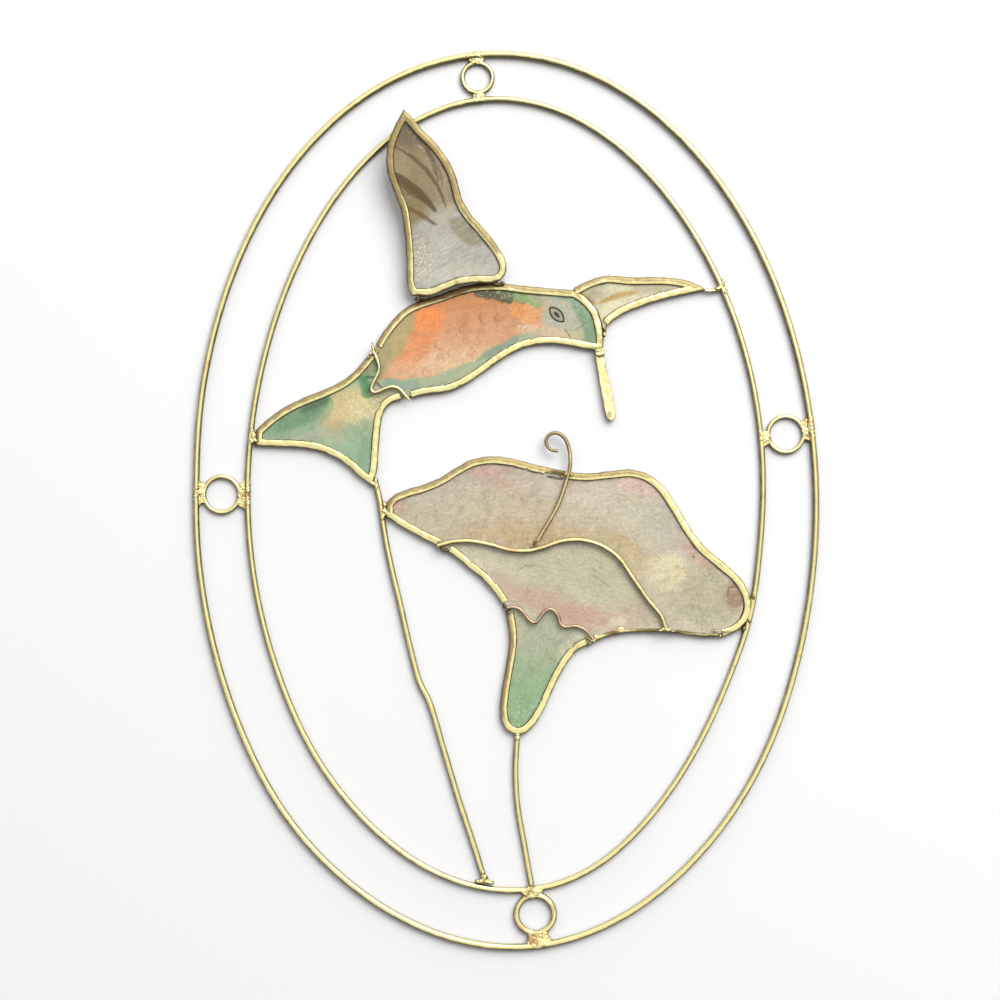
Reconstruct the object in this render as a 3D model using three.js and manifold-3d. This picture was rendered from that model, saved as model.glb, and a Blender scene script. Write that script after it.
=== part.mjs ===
import * as THREE from 'three';
import * as BufferGeometryUtils from 'three/addons/utils/BufferGeometryUtils.js';
import Module from 'manifold-3d';

// A hanging suncatcher: two oval hoops of brass wire joined by four rings, and inside them a
// hummingbird at a trumpet flower, made of capiz shell panes held in channelled brass came.
// Millimetres and degrees. It hangs plumb from its top ring, facing -Y, with +Z up,
// and the origin is the middle of that ring's hole.

const wasm = await Module();
wasm.setup();

// Hoops, measured to the middle of their wire, each leaning to the right of plumb
const INNER_HALF_WIDTH = 72.6;
const INNER_HALF_HEIGHT = 111.6;
const INNER_WIRE = 1.7;
const INNER_LEAN = 3.5;
const OUTER_WIRE = 1.9;
const OUTER_LEAN = 2.35;

// What the hand left in each hoop: number of lobes, their height, where the first one peaks
const INNER_BENDS = [[3, 0.37, 43], [4, 0.68, 31]];
const OUTER_BENDS = [[3, 0.21, 14], [4, 0.2, 156]];

// Rings between the hoops: direction from the inner hoop's centre, hole, wire, solder on each
// side, which share of the slack lies inside, and the solder's spread along either hoop
const RINGS = [
  { name: 'top', angle: 89.75, hole: 7.2, wire: 1.3, space: 0.25, seat: 0.85, spread: [5.4, 8.6] },
  { name: 'right', angle: 7.87, hole: 8.8, wire: 1.3, space: 0.75, seat: 0.5, spread: [6.2, 8.4] },
  { name: 'bottom', angle: 270.25, hole: 9, wire: 1.7, space: 0.75, seat: 0.5, spread: [10.4, 12.4] },
  { name: 'left', angle: 176.3, hole: 8.8, wire: 1.3, space: 0.75, seat: 0.5, spread: [10, 7.8] },
];

// Brass came: a channel that grips the edge of a shell pane
const CAME_WIDTH = 2.1;
const CAME_FLANGE = 0.35;
const CAME_WEB = 0.4;
const CAME_SHOULDER = 0.4;
const PANE_THICKNESS = 0.8;
const PANE_CLEARANCE = 0.2;
const PANE_SAW_CUT = 0.35;
const CAME_DEPTH = 2 * CAME_FLANGE + PANE_THICKNESS + 2 * PANE_CLEARANCE;

// Round wires laid over the panes, and the stems
const PETAL_WIRE = 1.25;
const CALYX_WIRE = 0.9;
const STAMEN_WIRE = 1.1;
const TAIL_WIRE = 1;
const LINK_WIRE = 1.1;
const SUPPORT_STEM_WIRE = 1.7;
const FLOWER_STEM_WIRE = 1.6;

// Spaces left where one piece bears on the next
const SOLDER_GAP = 0.15;
const JOINT_GAP = 0.3;

// The upper wing stands in front of the bird and tips forward from its lower edge
const WING_TILT = 6;
const WING_HINGE_HEIGHT = 195;

// The beak is a flattened bar
const BEAK_DEPTH = 1.7;
const BEAK_ROUNDING = 0.4;

// How finely the curves are stepped
const HOOP_STEPS = 48;
const RING_STEPS = 14;
const CAME_STEP = 6;
const WIRE_STEP = 3.6;
const STEM_STEP = 12;
const HEAVY_SIDES = 8;
const THIN_SIDES = 6;

// The figures are drawn on a cartoon that fills the inner hoop. Its units are counted right and
// up from a point just off the hoop's centre, and it leans with the hanging piece.
const CARTOON_HALF_WIDTH = 256;
const CARTOON_HALF_HEIGHT = 394;
const CARTOON_LEAN = 3.95;
const CARTOON_OFFSET = new THREE.Vector2(0.2, 0.7);

// Every back face lies in one plane, level with the back of the top ring
const BACK_Y = RINGS[0].wire / 2;
const CAME_FRONT_Y = BACK_Y - CAME_DEPTH;

// Outer edges of the came, stroke by stroke, with a corner between strokes
const WING_EDGE = [
  [[-100.5, 379], [-89, 367], [-84, 361], [-65, 341], [-52, 321], [-46, 303], [-42.5, 290], [-35, 277],
    [-21, 261], [-8, 245], [0, 231], [1.5, 221], [-3, 212], [-12, 208], [-30, 208], [-45, 206],
    [-60, 200.5], [-74, 195.5], [-93, 195]],
  [[-93, 195], [-97.5, 207], [-98, 229], [-100, 256], [-103.5, 280], [-111, 300], [-117, 319],
    [-117, 341], [-111, 359], [-100.5, 379]],
];
const BIRD_EDGE = [
  [[-133.5, 5.5], [-128.5, 19], [-126.5, 41], [-124.5, 64], [-122, 77], [-116, 86], [-104, 91.5],
    [-93, 93], [-81, 96], [-65, 98], [-50, 101.5], [-35, 109.5], [-20, 119.5], [-5, 130.5],
    [10, 139.5], [25, 145], [43, 147], [65, 145], [83, 141.5], [98, 139]],
  [[98, 139], [98.5, 153], [96.5, 167], [92, 180.5], [83, 191.5], [71, 200], [58, 201.5], [40, 203],
    [15, 205.5], [0, 207.5], [-15, 208], [-33, 206.5], [-50, 202], [-65, 196.5], [-90, 188],
    [-101, 182], [-111, 172.5], [-121, 160], [-133, 141], [-150, 120.5], [-163, 110],
    [-180, 101.5], [-200, 93.5], [-220, 84], [-237, 72], [-249, 61]],
  [[-249, 61], [-250.5, 45]],
  [[-250.5, 45], [-230, 44], [-205, 43], [-187, 40], [-171, 33.5], [-157, 24.5], [-145, 13.5],
    [-133.5, 5.5]],
];
const BACK_WING_EDGE = [
  [[61, 199], [69, 203], [85, 211], [101, 215.3], [125, 213.7], [163, 213.5], [183, 210],
    [195, 205], [201, 201]],
  [[201, 201], [185, 197.7], [163, 192.8], [140, 186], [120, 178], [107, 169.5], [92, 152]],
  [[92, 152], [61, 199]],
];
const FLOWER_EDGE = [
  [[0, -118], [-11, -101.5], [-22, -89.5], [-35, -78.5], [-58, -60.5], [-85, -46.5], [-103, -36.5],
    [-119, -26]],
  [[-119, -26], [-119, -13]],
  [[-119, -13], [-112, -5], [-100, 0.5], [-83, 5.5], [-65, 13], [-48, 23.5], [-33, 31], [-17, 34],
    [5, 32.5], [30, 26], [55, 20.5], [80, 17.3], [105, 19.5], [126, 21], [143, 16.5], [157, 6],
    [171, -13.5], [185, -37], [199, -55.5], [217, -71], [232.5, -85.5], [239, -96], [241.5, -107],
    [240, -120], [235.5, -131.5], [227, -140], [216, -145], [195, -146], [175, -143.5],
    [143, -141.5], [110, -144], [88, -152]],
  [[88, -152], [72, -160.5], [64, -170], [55, -185], [46, -204], [37, -223], [28, -236], [19, -243],
    [10, -244], [2, -240], [-3.5, -231], [-5, -219], [-3.5, -203], [0, -181], [3.5, -161],
    [4.5, -145], [3, -132], [0, -118]],
];
const BEAK_EDGE = [
  [[90, 150], [87.5, 141], [91, 121], [95, 99], [99, 80], [101, 73], [105.5, 70], [110, 73.5],
    [109.5, 80], [106.5, 99], [103.5, 121], [101, 141], [98, 150]],
  [[98, 150], [90, 150]],
];

// Middle lines of the wires
const TAIL_WIRE_LINE = [
  [-132.7, 147.5], [-132, 141], [-129, 134], [-126.4, 127], [-126, 120], [-129, 113], [-132, 107],
  [-133.7, 101.5], [-131.5, 98.5], [-126, 99.5], [-119, 102.5], [-112, 104], [-106, 102],
  [-101, 97], [-93.5, 88.5],
];
const PETAL_WIRE_LINE = [
  [-67.5, -55], [-55, -51.5], [-35, -50.3], [-15, -53.8], [5, -59.3], [23, -60], [37, -57],
  [55, -50.8], [75, -49.2], [95, -54.3], [113, -66.5], [127, -86], [143, -109], [156, -125],
  [161, -138],
];
const CALYX_WIRE_LINE = [
  [2, -117], [8, -116.5], [14, -118], [19, -122.5], [23, -128], [27.5, -131.5], [31.5, -131],
  [35, -127], [38.5, -122], [42.5, -119], [46.5, -118.5], [50.5, -121.5], [53.5, -126.5],
  [55, -132.5], [58.5, -135.8], [64, -136], [70, -135.3], [76, -137], [81, -140], [85.5, -145],
  [88.5, -149],
];
const STAMEN_LINE = [
  [53, 39.5], [47, 40.5], [43, 43.5], [41, 48.5], [42.5, 54], [47, 57.2], [52, 57.5], [57, 55],
  [61, 50], [63.7, 43], [65, 35], [65.2, 27], [64, 19], [61.5, 10], [58, -1], [54, -12],
  [48.5, -23], [42, -34], [32.5, -50],
];
const LINK_LINE = [[203.5, 201], [213, 202.2]];
const SUPPORT_STEM_LINE = [
  [-128.5, 4], [-125.5, -9], [-122.7, -29], [-119.5, -49], [-115.5, -69], [-111, -89],
  [-106, -109], [-95, -157], [-85, -193], [-76, -211], [-61.5, -259], [-46.5, -309], [-30, -359],
  [-19.5, -392],
];
const FLOWER_STEM_LINE = [[12.3, -248], [10.5, -280], [12.5, -315], [19, -353], [26, -392]];

// Places where the came stops and starts again: a point on its edge and the length left open
const BIRD_BREAKS = [{ at: [-131, 145], length: 1.5 }, { at: [-98.5, 92], length: 2.8 }];
const FLOWER_BREAKS = [
  { name: 'petal_joint_solder', at: [-61, -59], length: 2.8 },
  { name: 'calyx_left_solder', at: [-0.5, -118.5], length: 2.2 },
  { name: 'calyx_right_solder', at: [87, -151], length: 2 },
  { name: 'petal_end_solder', at: [215.5, -145], length: 1.3 },
];

// Slips of light beside the wavy wire, where the two shell panes don't meet
const TAIL_SLIPS = [
  [[-139, 114.5], [-129, 115], [-133, 108.5], [-137.5, 111]],
  [[-136, 102], [-139, 94], [-131.5, 97.5]],
  [[-128.5, 110], [-121, 102.5], [-127, 100.5], [-131, 104]],
];

// Outer hoop, as large as the rings inside it need
const bulge = INNER_BENDS.reduce((sum, bend) => sum + bend[1], 0);
const spans = RINGS.map((ring) => (INNER_WIRE + OUTER_WIRE) / 2 + ring.hole + 2 * (ring.wire + ring.space));
const [topSpan, rightSpan, bottomSpan, leftSpan] = spans;
const innerHoop = {
  halfWidth: INNER_HALF_WIDTH,
  halfHeight: INNER_HALF_HEIGHT,
  lean: INNER_LEAN,
  bends: INNER_BENDS,
  wire: INNER_WIRE,
  centre: new THREE.Vector2(0, 0),
};
const outerHoop = {
  halfWidth: INNER_HALF_WIDTH + bulge + (leftSpan + rightSpan) / 2,
  halfHeight: INNER_HALF_HEIGHT + bulge + (topSpan + bottomSpan) / 2,
  lean: OUTER_LEAN,
  bends: OUTER_BENDS,
  wire: OUTER_WIRE,
  centre: new THREE.Vector2((rightSpan - leftSpan) / 2, (topSpan - bottomSpan) / 2),
};

const radians = THREE.MathUtils.degToRad;
const origin2 = new THREE.Vector2();

function hoopLine(hoop) {
  const line = [];
  for (let step = 0; step < HOOP_STEPS; step += 1) {
    const turn = (2 * Math.PI * step) / HOOP_STEPS;
    const point = new THREE.Vector2(hoop.halfWidth * Math.cos(turn), hoop.halfHeight * Math.sin(turn));
    const bend = hoop.bends.reduce((sum, [lobes, height, peak]) => (
      sum + height * Math.cos(lobes * turn - radians(peak))), 0);
    point.multiplyScalar(1 + bend / point.length());
    point.rotateAround(origin2, -radians(hoop.lean));
    line.push(point.add(hoop.centre));
  }
  return line;
}

function cross(a, b) {
  return a.x * b.y - a.y * b.x;
}

// Where two straight pieces meet: shares along each, or null if they are parallel
function meeting(a0, a1, b0, b1) {
  const a = a1.clone().sub(a0);
  const b = b1.clone().sub(b0);
  const turn = cross(a, b);
  if (Math.abs(turn) < 1e-9) return null;
  const between = b0.clone().sub(a0);
  return [cross(between, b) / turn, cross(between, a) / turn];
}

// How far from the inner hoop's centre a closed line is crossed in a given direction
function reach(line, angle) {
  const ray = new THREE.Vector2(Math.cos(radians(angle)), Math.sin(radians(angle)));
  for (let index = 0; index < line.length; index += 1) {
    const shares = meeting(origin2, ray, line[index], line[(index + 1) % line.length]);
    if (shares && shares[0] > 0 && shares[1] >= 0 && shares[1] <= 1) return shares[0];
  }
  throw new Error(`no hoop in direction ${angle}`);
}

// Cartoon units to millimetres from the inner hoop's centre
function place([right, up]) {
  const point = new THREE.Vector2(
    (right * INNER_HALF_WIDTH) / CARTOON_HALF_WIDTH,
    (up * INNER_HALF_HEIGHT) / CARTOON_HALF_HEIGHT,
  );
  return point.add(CARTOON_OFFSET).rotateAround(origin2, -radians(CARTOON_LEAN));
}

// A smooth line through the points, its longer spans divided into pieces of about one step
function smoothLine(points, step) {
  if (points.length === 2) return points.map((point) => point.clone());
  const knots = points.map((point) => new THREE.Vector3(point.x, point.y, 0));
  const curve = new THREE.CatmullRomCurve3(knots, false, 'centripetal');
  const spans = points.length - 1;
  const line = [points[0].clone()];
  for (let span = 0; span < spans; span += 1) {
    const pieces = Math.max(1, Math.round(points[span].distanceTo(points[span + 1]) / step));
    for (let piece = 1; piece <= pieces; piece += 1) {
      const point = curve.getPoint((span + piece / pieces) / spans);
      line.push(new THREE.Vector2(point.x, point.y));
    }
  }
  return line;
}

// Strokes of an edge in millimetres, turned to run anticlockwise, so that inward is to the left
function placedStrokes(edge) {
  const strokes = edge.map((stroke) => smoothLine(stroke.map(place), CAME_STEP));
  if (THREE.ShapeUtils.area(strokes.flat()) > 0) return strokes;
  return strokes.reverse().map((stroke) => stroke.reverse());
}

function leftOf(from, to) {
  const along = to.clone().sub(from).normalize();
  return new THREE.Vector2(-along.y, along.x);
}

// Left-hand direction at each point of an open or closed line, lengthened for the mitre
function mitres(line, closed) {
  const count = line.length;
  return line.map((point, index) => {
    const before = closed || index > 0 ? leftOf(line[(index + count - 1) % count], point) : null;
    const after = closed || index < count - 1 ? leftOf(point, line[(index + 1) % count]) : null;
    if (!before || !after) return before || after;
    const middle = before.clone().add(after).normalize();
    return middle.divideScalar(middle.dot(after));
  });
}

function shifted(line, distance, closed = false) {
  const ways = mitres(line, closed);
  return line.map((point, index) => point.clone().addScaledVector(ways[index], distance));
}

// Joins two shifted strokes at their corner: what runs past the crossing is drawn back to it.
// Only the nearer half of each stroke is searched.
function trimCorner(first, second) {
  const last = first.length - 1;
  const [halfFirst, halfSecond] = [Math.ceil(last / 2), Math.ceil((second.length - 1) / 2)];
  for (let reachBack = 0; reachBack < halfFirst + halfSecond; reachBack += 1) {
    for (let back = 0; back <= reachBack; back += 1) {
      const a = last - 1 - back;
      const b = reachBack - back;
      if (back >= halfFirst || b >= halfSecond) continue;
      const shares = meeting(first[a], first[a + 1], second[b], second[b + 1]);
      if (!shares || shares.some((share) => share < 0 || share > 1)) continue;
      const corner = first[a].clone().lerp(first[a + 1], shares[0]);
      for (let index = a + 1; index <= last; index += 1) first[index].copy(corner);
      for (let index = 0; index <= b; index += 1) second[index].copy(corner);
      return;
    }
  }
  const shares = meeting(first[last - 1], first[last], second[0], second[1]);
  const corner = shares ? first[last - 1].clone().lerp(first[last], shares[0]) : first[last].clone();
  first[last].copy(corner);
  second[0].copy(corner);
}

// The closed line that lies a given distance inside an edge
function insetLine(strokes, distance) {
  const moved = strokes.map((stroke) => shifted(stroke, distance));
  moved.forEach((stroke, index) => trimCorner(stroke, moved[(index + 1) % moved.length]));
  return moved.flatMap((stroke) => stroke.slice(0, -1));
}

function onPlane(point, y) {
  return new THREE.Vector3(point.x, y, point.y);
}

// An indexed geometry with shared corners, no empty triangles, and its faces pointing out
function closedGeometry(geometry) {
  const bare = new THREE.BufferGeometry();
  bare.setAttribute('position', geometry.getAttribute('position'));
  bare.setIndex(geometry.getIndex());
  const merged = BufferGeometryUtils.mergeVertices(bare, 1e-4);
  const corners = merged.getAttribute('position');
  const old = merged.getIndex().array;
  const kept = [];
  let volume = 0;
  const [a, b, c] = [new THREE.Vector3(), new THREE.Vector3(), new THREE.Vector3()];
  for (let index = 0; index < old.length; index += 3) {
    const [i, j, k] = [old[index], old[index + 1], old[index + 2]];
    if (i === j || j === k || k === i) continue;
    kept.push(i, j, k);
    a.fromBufferAttribute(corners, i);
    b.fromBufferAttribute(corners, j);
    c.fromBufferAttribute(corners, k);
    volume += a.dot(b.cross(c));
  }
  if (volume < 0) kept.reverse();
  merged.setIndex(kept);
  return merged;
}

// Skins the lines of a section: every line has as many points as the others
function skin(lines, closed) {
  const steps = lines[0].length;
  const positions = lines.flat().flatMap((point) => point.toArray());
  const index = [];
  const lastStep = closed ? steps : steps - 1;
  lines.forEach((line, side) => {
    const next = (side + 1) % lines.length;
    for (let step = 0; step < lastStep; step += 1) {
      const ahead = (step + 1) % steps;
      const [a, b] = [side * steps + step, side * steps + ahead];
      const [c, d] = [next * steps + ahead, next * steps + step];
      index.push(a, b, c, a, c, d);
    }
  });
  if (!closed) {
    for (let side = 1; side < lines.length - 1; side += 1) {
      index.push(0, side * steps, (side + 1) * steps);
      index.push(steps - 1, (side + 2) * steps - 1, (side + 1) * steps - 1);
    }
  }
  const geometry = new THREE.BufferGeometry();
  geometry.setAttribute('position', new THREE.Float32BufferAttribute(positions, 3));
  geometry.setIndex(index);
  return closedGeometry(geometry);
}

function roundWire(line, diameter, y, sides, closed = false) {
  const lines = [];
  for (let side = 0; side < sides; side += 1) {
    const turn = (2 * Math.PI * (side + 0.5)) / sides;
    const height = y + (diameter / 2) * Math.sin(turn);
    const moved = shifted(line, (diameter / 2) * Math.cos(turn), closed);
    lines.push(moved.map((point) => onPlane(point, height)));
  }
  return skin(lines, closed);
}

// The came's section: how far in from its edge, and how far forward of its back
const CAME_SECTION = [
  [0, 0],
  [0, CAME_DEPTH - CAME_SHOULDER],
  [CAME_SHOULDER, CAME_DEPTH],
  [CAME_WIDTH, CAME_DEPTH],
  [CAME_WIDTH, CAME_DEPTH - CAME_FLANGE],
  [CAME_WEB, CAME_DEPTH - CAME_FLANGE],
  [CAME_WEB, CAME_FLANGE],
  [CAME_WIDTH, CAME_FLANGE],
  [CAME_WIDTH, 0],
];

function came(strokes, backY) {
  const lines = CAME_SECTION.map(([inset, forward]) => (
    insetLine(strokes, inset).map((point) => onPlane(point, backY - forward))));
  return skin(lines, true);
}

// A flat plate with a closed outline, between two heights
function plate(line, frontY, backY, bevel = 0) {
  const shape = new THREE.Shape(line.map((point) => new THREE.Vector2(point.x, -point.y)));
  const geometry = new THREE.ExtrudeGeometry(shape, {
    depth: backY - frontY - 2 * bevel,
    bevelEnabled: bevel > 0,
    bevelThickness: bevel,
    bevelSize: bevel,
    bevelOffset: -bevel,
    bevelSegments: 2,
  });
  geometry.rotateX(-Math.PI / 2);
  geometry.translate(0, frontY + bevel, 0);
  return closedGeometry(geometry);
}

function solidOf(geometry) {
  const closed = closedGeometry(geometry);
  return new wasm.Manifold(new wasm.Mesh({
    numProp: 3,
    vertProperties: closed.getAttribute('position').array,
    triVerts: new Uint32Array(closed.getIndex().array),
  }));
}

function geometryOf(solid) {
  const mesh = solid.getMesh();
  const geometry = new THREE.BufferGeometry();
  geometry.setAttribute('position', new THREE.BufferAttribute(mesh.vertProperties, 3));
  geometry.setIndex(new THREE.BufferAttribute(mesh.triVerts, 1));
  return closedGeometry(geometry);
}

function without(geometry, cutters) {
  return cutters.reduce((left, cutter) => left.subtract(solidOf(cutter)), solidOf(geometry));
}

function largest(solid) {
  return solid.decompose().reduce((best, piece) => (piece.volume() > best.volume() ? piece : best));
}

// Of the bodies that a cut leaves, the one whose box is centred nearest to a cartoon point
function bodyNear(solid, spot) {
  const target = place(spot);
  const distance = (piece) => {
    const { min, max } = piece.boundingBox();
    return Math.hypot((min[0] + max[0]) / 2 - target.x, (min[2] + max[2]) / 2 - target.y);
  };
  return solid.decompose().reduce((best, piece) => (distance(piece) < distance(best) ? piece : best));
}

// A closed outline grown by the joint gap: the space that a framed figure takes up
function envelope(strokes, grow, backY = BACK_Y, frontGap = SOLDER_GAP) {
  const frontY = backY - CAME_DEPTH - frontGap;
  return plate(insetLine(strokes, -grow), frontY, backY + CAME_DEPTH);
}

function pane(strokes, backY) {
  const line = insetLine(strokes, CAME_WEB + PANE_CLEARANCE);
  const paneBack = backY - CAME_FLANGE - PANE_CLEARANCE;
  return plate(line, paneBack - PANE_THICKNESS, paneBack);
}

// A thin saw cut along a wire, run out past both of its ends
function sawCut(wireLine) {
  const line = smoothLine(wireLine.map(place), WIRE_STEP);
  const overrun = 3;
  const last = line.length - 1;
  const start = line[0].clone().sub(line[1]).setLength(overrun).add(line[0]);
  const end = line[last].clone().sub(line[last - 1]).setLength(overrun).add(line[last]);
  const full = [start, ...line, end];
  const lines = [[1, 1], [1, -1], [-1, -1], [-1, 1]].map(([side, depth]) => (
    shifted(full, (side * PANE_SAW_CUT) / 2).map((point) => onPlane(point, depth * CAME_DEPTH * 2))));
  return skin(lines, false);
}

function slip(corners) {
  return plate(corners.map(place), BACK_Y - 2 * CAME_DEPTH, BACK_Y + CAME_DEPTH);
}

// A block across the came at a break in it, a little shorter when it bounds the solder
function breakBlock(strokes, { at, length }, shorter = 0) {
  const edge = strokes.flatMap((stroke) => stroke.slice(0, -1));
  const spot = place(at);
  const nearest = edge.reduce((best, point, index) => (
    point.distanceTo(spot) < edge[best].distanceTo(spot) ? index : best), 0);
  const before = edge[(nearest + edge.length - 1) % edge.length];
  const after = edge[(nearest + 1) % edge.length];
  const inward = leftOf(before, after);
  const middle = spot.clone().addScaledVector(inward, CAME_WIDTH / 2);
  const block = new THREE.BoxGeometry(length - shorter, 4 * CAME_DEPTH, CAME_WIDTH + 2);
  const along = after.clone().sub(before);
  block.rotateY(-Math.atan2(along.y, along.x));
  block.translate(middle.x, 0, middle.y);
  return block;
}

// A lump of solder, flat behind, cut clear of everything that it joins
function solder(centre, y, halfSizes, turn, cutters, bounds = null) {
  const ball = new THREE.SphereGeometry(1, 6, 3);
  ball.scale(halfSizes[0], halfSizes[1], halfSizes[2]);
  ball.rotateY(-turn);
  ball.translate(centre.x, y, centre.y);
  const behind = new THREE.BoxGeometry(60, 20, 60);
  behind.translate(centre.x, BACK_Y + 10, centre.y);
  let lump = without(ball, [behind, ...cutters]);
  if (bounds) lump = lump.intersect(solidOf(bounds));
  return geometryOf(largest(lump));
}

const BRASS = { color: 0xb8a75a, roughness: 0.35, metalness: 1 };
const TARNISHED = { color: 0x8a7440, roughness: 0.5, metalness: 1 };
const SOLDER = { color: 0xc9bd76, roughness: 0.55, metalness: 0.9 };
const finishes = {
  wing: { color: 0xb0ab98, roughness: 0.35, metalness: 0 },
  body: { color: 0xc99468, roughness: 0.4, metalness: 0 },
  tail: { color: 0x9db394, roughness: 0.4, metalness: 0 },
  backWing: { color: 0xd8cdb4, roughness: 0.35, metalness: 0 },
  upperPetal: { color: 0xc9bca4, roughness: 0.4, metalness: 0 },
  lowerPetal: { color: 0xc6bfa4, roughness: 0.4, metalness: 0 },
  calyx: { color: 0xa5b594, roughness: 0.4, metalness: 0 },
};

const suncatcher = new THREE.Group();

function add(name, geometry, finish, parent = suncatcher) {
  const mesh = new THREE.Mesh(geometry, new THREE.MeshStandardMaterial(finish));
  mesh.name = name;
  parent.add(mesh);
  return mesh;
}

// Hoops
const innerLine = hoopLine(innerHoop);
const outerLine = hoopLine(outerHoop);

function hoopGeometry(hoop, line, extra = 0) {
  return roundWire(line, hoop.wire + 2 * extra, BACK_Y - hoop.wire / 2, HEAVY_SIDES, true);
}

add('inner_hoop', hoopGeometry(innerHoop, innerLine), BRASS);
add('outer_hoop', hoopGeometry(outerHoop, outerLine), BRASS);
const innerHoopCutter = hoopGeometry(innerHoop, innerLine, SOLDER_GAP);
const outerHoopCutter = hoopGeometry(outerHoop, outerLine, SOLDER_GAP);

// Rings, each seated in the space between the two hoops
function ringCentre(ring) {
  const outside = ring.hole / 2 + ring.wire;
  const lowest = reach(innerLine, ring.angle) + INNER_WIRE / 2 + outside;
  const highest = reach(outerLine, ring.angle) - OUTER_WIRE / 2 - outside;
  const distance = THREE.MathUtils.lerp(lowest, highest, ring.seat);
  return new THREE.Vector2(distance, 0).rotateAround(origin2, radians(ring.angle));
}

function ringGeometry(ring, extra = 0) {
  const centre = ringCentre(ring);
  const line = [];
  for (let step = 0; step < RING_STEPS; step += 1) {
    const spoke = new THREE.Vector2((ring.hole + ring.wire) / 2, 0);
    spoke.rotateAround(origin2, (2 * Math.PI * step) / RING_STEPS);
    line.push(spoke.add(centre));
  }
  return roundWire(line, ring.wire + 2 * extra, BACK_Y - ring.wire / 2, THIN_SIDES, true);
}

// Stems, and the wires that lie over the came
function stem(points, diameter, extra = 0) {
  const line = smoothLine(points.map(place), STEM_STEP);
  return roundWire(line, diameter + 2 * extra, BACK_Y - diameter / 2, THIN_SIDES);
}

function overlay(points, diameter, extra = 0) {
  const line = smoothLine(points.map(place), WIRE_STEP);
  const y = CAME_FRONT_Y - SOLDER_GAP - diameter / 2;
  return roundWire(line, diameter + 2 * extra, y, THIN_SIDES);
}

function footOfStem(points, diameter) {
  return geometryOf(largest(without(stem(points, diameter), [hoopGeometry(innerHoop, innerLine, JOINT_GAP)])));
}

add('support_stem', footOfStem(SUPPORT_STEM_LINE, SUPPORT_STEM_WIRE), BRASS);
add('flower_stem', footOfStem(FLOWER_STEM_LINE, FLOWER_STEM_WIRE), BRASS);
add('petal_wire', overlay(PETAL_WIRE_LINE, PETAL_WIRE), BRASS);
add('calyx_wire', overlay(CALYX_WIRE_LINE, CALYX_WIRE), TARNISHED);
add('stamen_wire', overlay(STAMEN_LINE, STAMEN_WIRE), TARNISHED);
add('tail_wire', overlay(TAIL_WIRE_LINE, TAIL_WIRE), BRASS);
const supportStemCutter = stem(SUPPORT_STEM_LINE, SUPPORT_STEM_WIRE, SOLDER_GAP);
const flowerStemCutter = stem(FLOWER_STEM_LINE, FLOWER_STEM_WIRE, SOLDER_GAP);
const petalWireCutter = overlay(PETAL_WIRE_LINE, PETAL_WIRE, SOLDER_GAP);
const calyxWireCutter = overlay(CALYX_WIRE_LINE, CALYX_WIRE, SOLDER_GAP);
const stamenCutter = overlay(STAMEN_LINE, STAMEN_WIRE, SOLDER_GAP);
const tailWireCutter = overlay(TAIL_WIRE_LINE, TAIL_WIRE, SOLDER_GAP);

// The bird's body and tail: one outline, with the came open at the waist
const bird = placedStrokes(BIRD_EDGE);
const birdCame = without(came(bird, BACK_Y), BIRD_BREAKS.map((gap) => breakBlock(bird, gap)));
const birdPanes = without(pane(bird, BACK_Y), [sawCut(TAIL_WIRE_LINE), ...TAIL_SLIPS.map(slip)]);
add('body_frame', geometryOf(bodyNear(birdCame, [-15, 150])), BRASS);
add('tail_frame', geometryOf(bodyNear(birdCame, [-190, 75])), BRASS);
add('body_shell', geometryOf(bodyNear(birdPanes, [-15, 150])), finishes.body);
add('tail_shell', geometryOf(bodyNear(birdPanes, [-190, 75])), finishes.tail);
const birdEnvelope = envelope(bird, SOLDER_GAP);
const birdClear = envelope(bird, JOINT_GAP);

// The back wing and the beak butt against the head
const backWing = placedStrokes(BACK_WING_EDGE);
add('back_wing_frame', geometryOf(largest(without(came(backWing, BACK_Y), [birdClear]))), BRASS);
add('back_wing_shell', geometryOf(largest(without(pane(backWing, BACK_Y), [birdClear]))), finishes.backWing);
const backWingEnvelope = envelope(backWing, SOLDER_GAP);

const beak = placedStrokes(BEAK_EDGE);
const beakFrontY = BACK_Y - (CAME_DEPTH + BEAK_DEPTH) / 2;
const beakBar = plate(insetLine(beak, 0), beakFrontY, beakFrontY + BEAK_DEPTH, BEAK_ROUNDING);
add('beak', geometryOf(largest(without(beakBar, [birdClear]))), BRASS);
const beakEnvelope = envelope(beak, SOLDER_GAP);

const linkLine = LINK_LINE.map(place);
const linkY = BACK_Y - CAME_DEPTH / 2;
add('back_wing_link', roundWire(linkLine, LINK_WIRE, linkY, THIN_SIDES), BRASS);
const linkCutter = roundWire(linkLine, LINK_WIRE + 2 * SOLDER_GAP, linkY, THIN_SIDES);

// The flower: one outline, its came in four lengths, its shell cut along two wires
const flower = placedStrokes(FLOWER_EDGE);
const flowerCame = without(came(flower, BACK_Y), FLOWER_BREAKS.map((gap) => breakBlock(flower, gap)));
const flowerPanes = without(pane(flower, BACK_Y), [sawCut(PETAL_WIRE_LINE), sawCut(CALYX_WIRE_LINE)]);
add('petal_frame', geometryOf(bodyNear(flowerCame, [60, -55])), BRASS);
add('petal_frame_left', geometryOf(bodyNear(flowerCame, [-30, -90])), BRASS);
add('petal_frame_bottom', geometryOf(bodyNear(flowerCame, [155, -144])), BRASS);
add('calyx_frame', geometryOf(bodyNear(flowerCame, [40, -195])), BRASS);
add('upper_petal_shell', geometryOf(bodyNear(flowerPanes, [60, -55])), finishes.upperPetal);
add('lower_petal_shell', geometryOf(bodyNear(flowerPanes, [55, -95])), finishes.lowerPetal);
add('calyx_shell', geometryOf(bodyNear(flowerPanes, [40, -190])), finishes.calyx);
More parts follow.
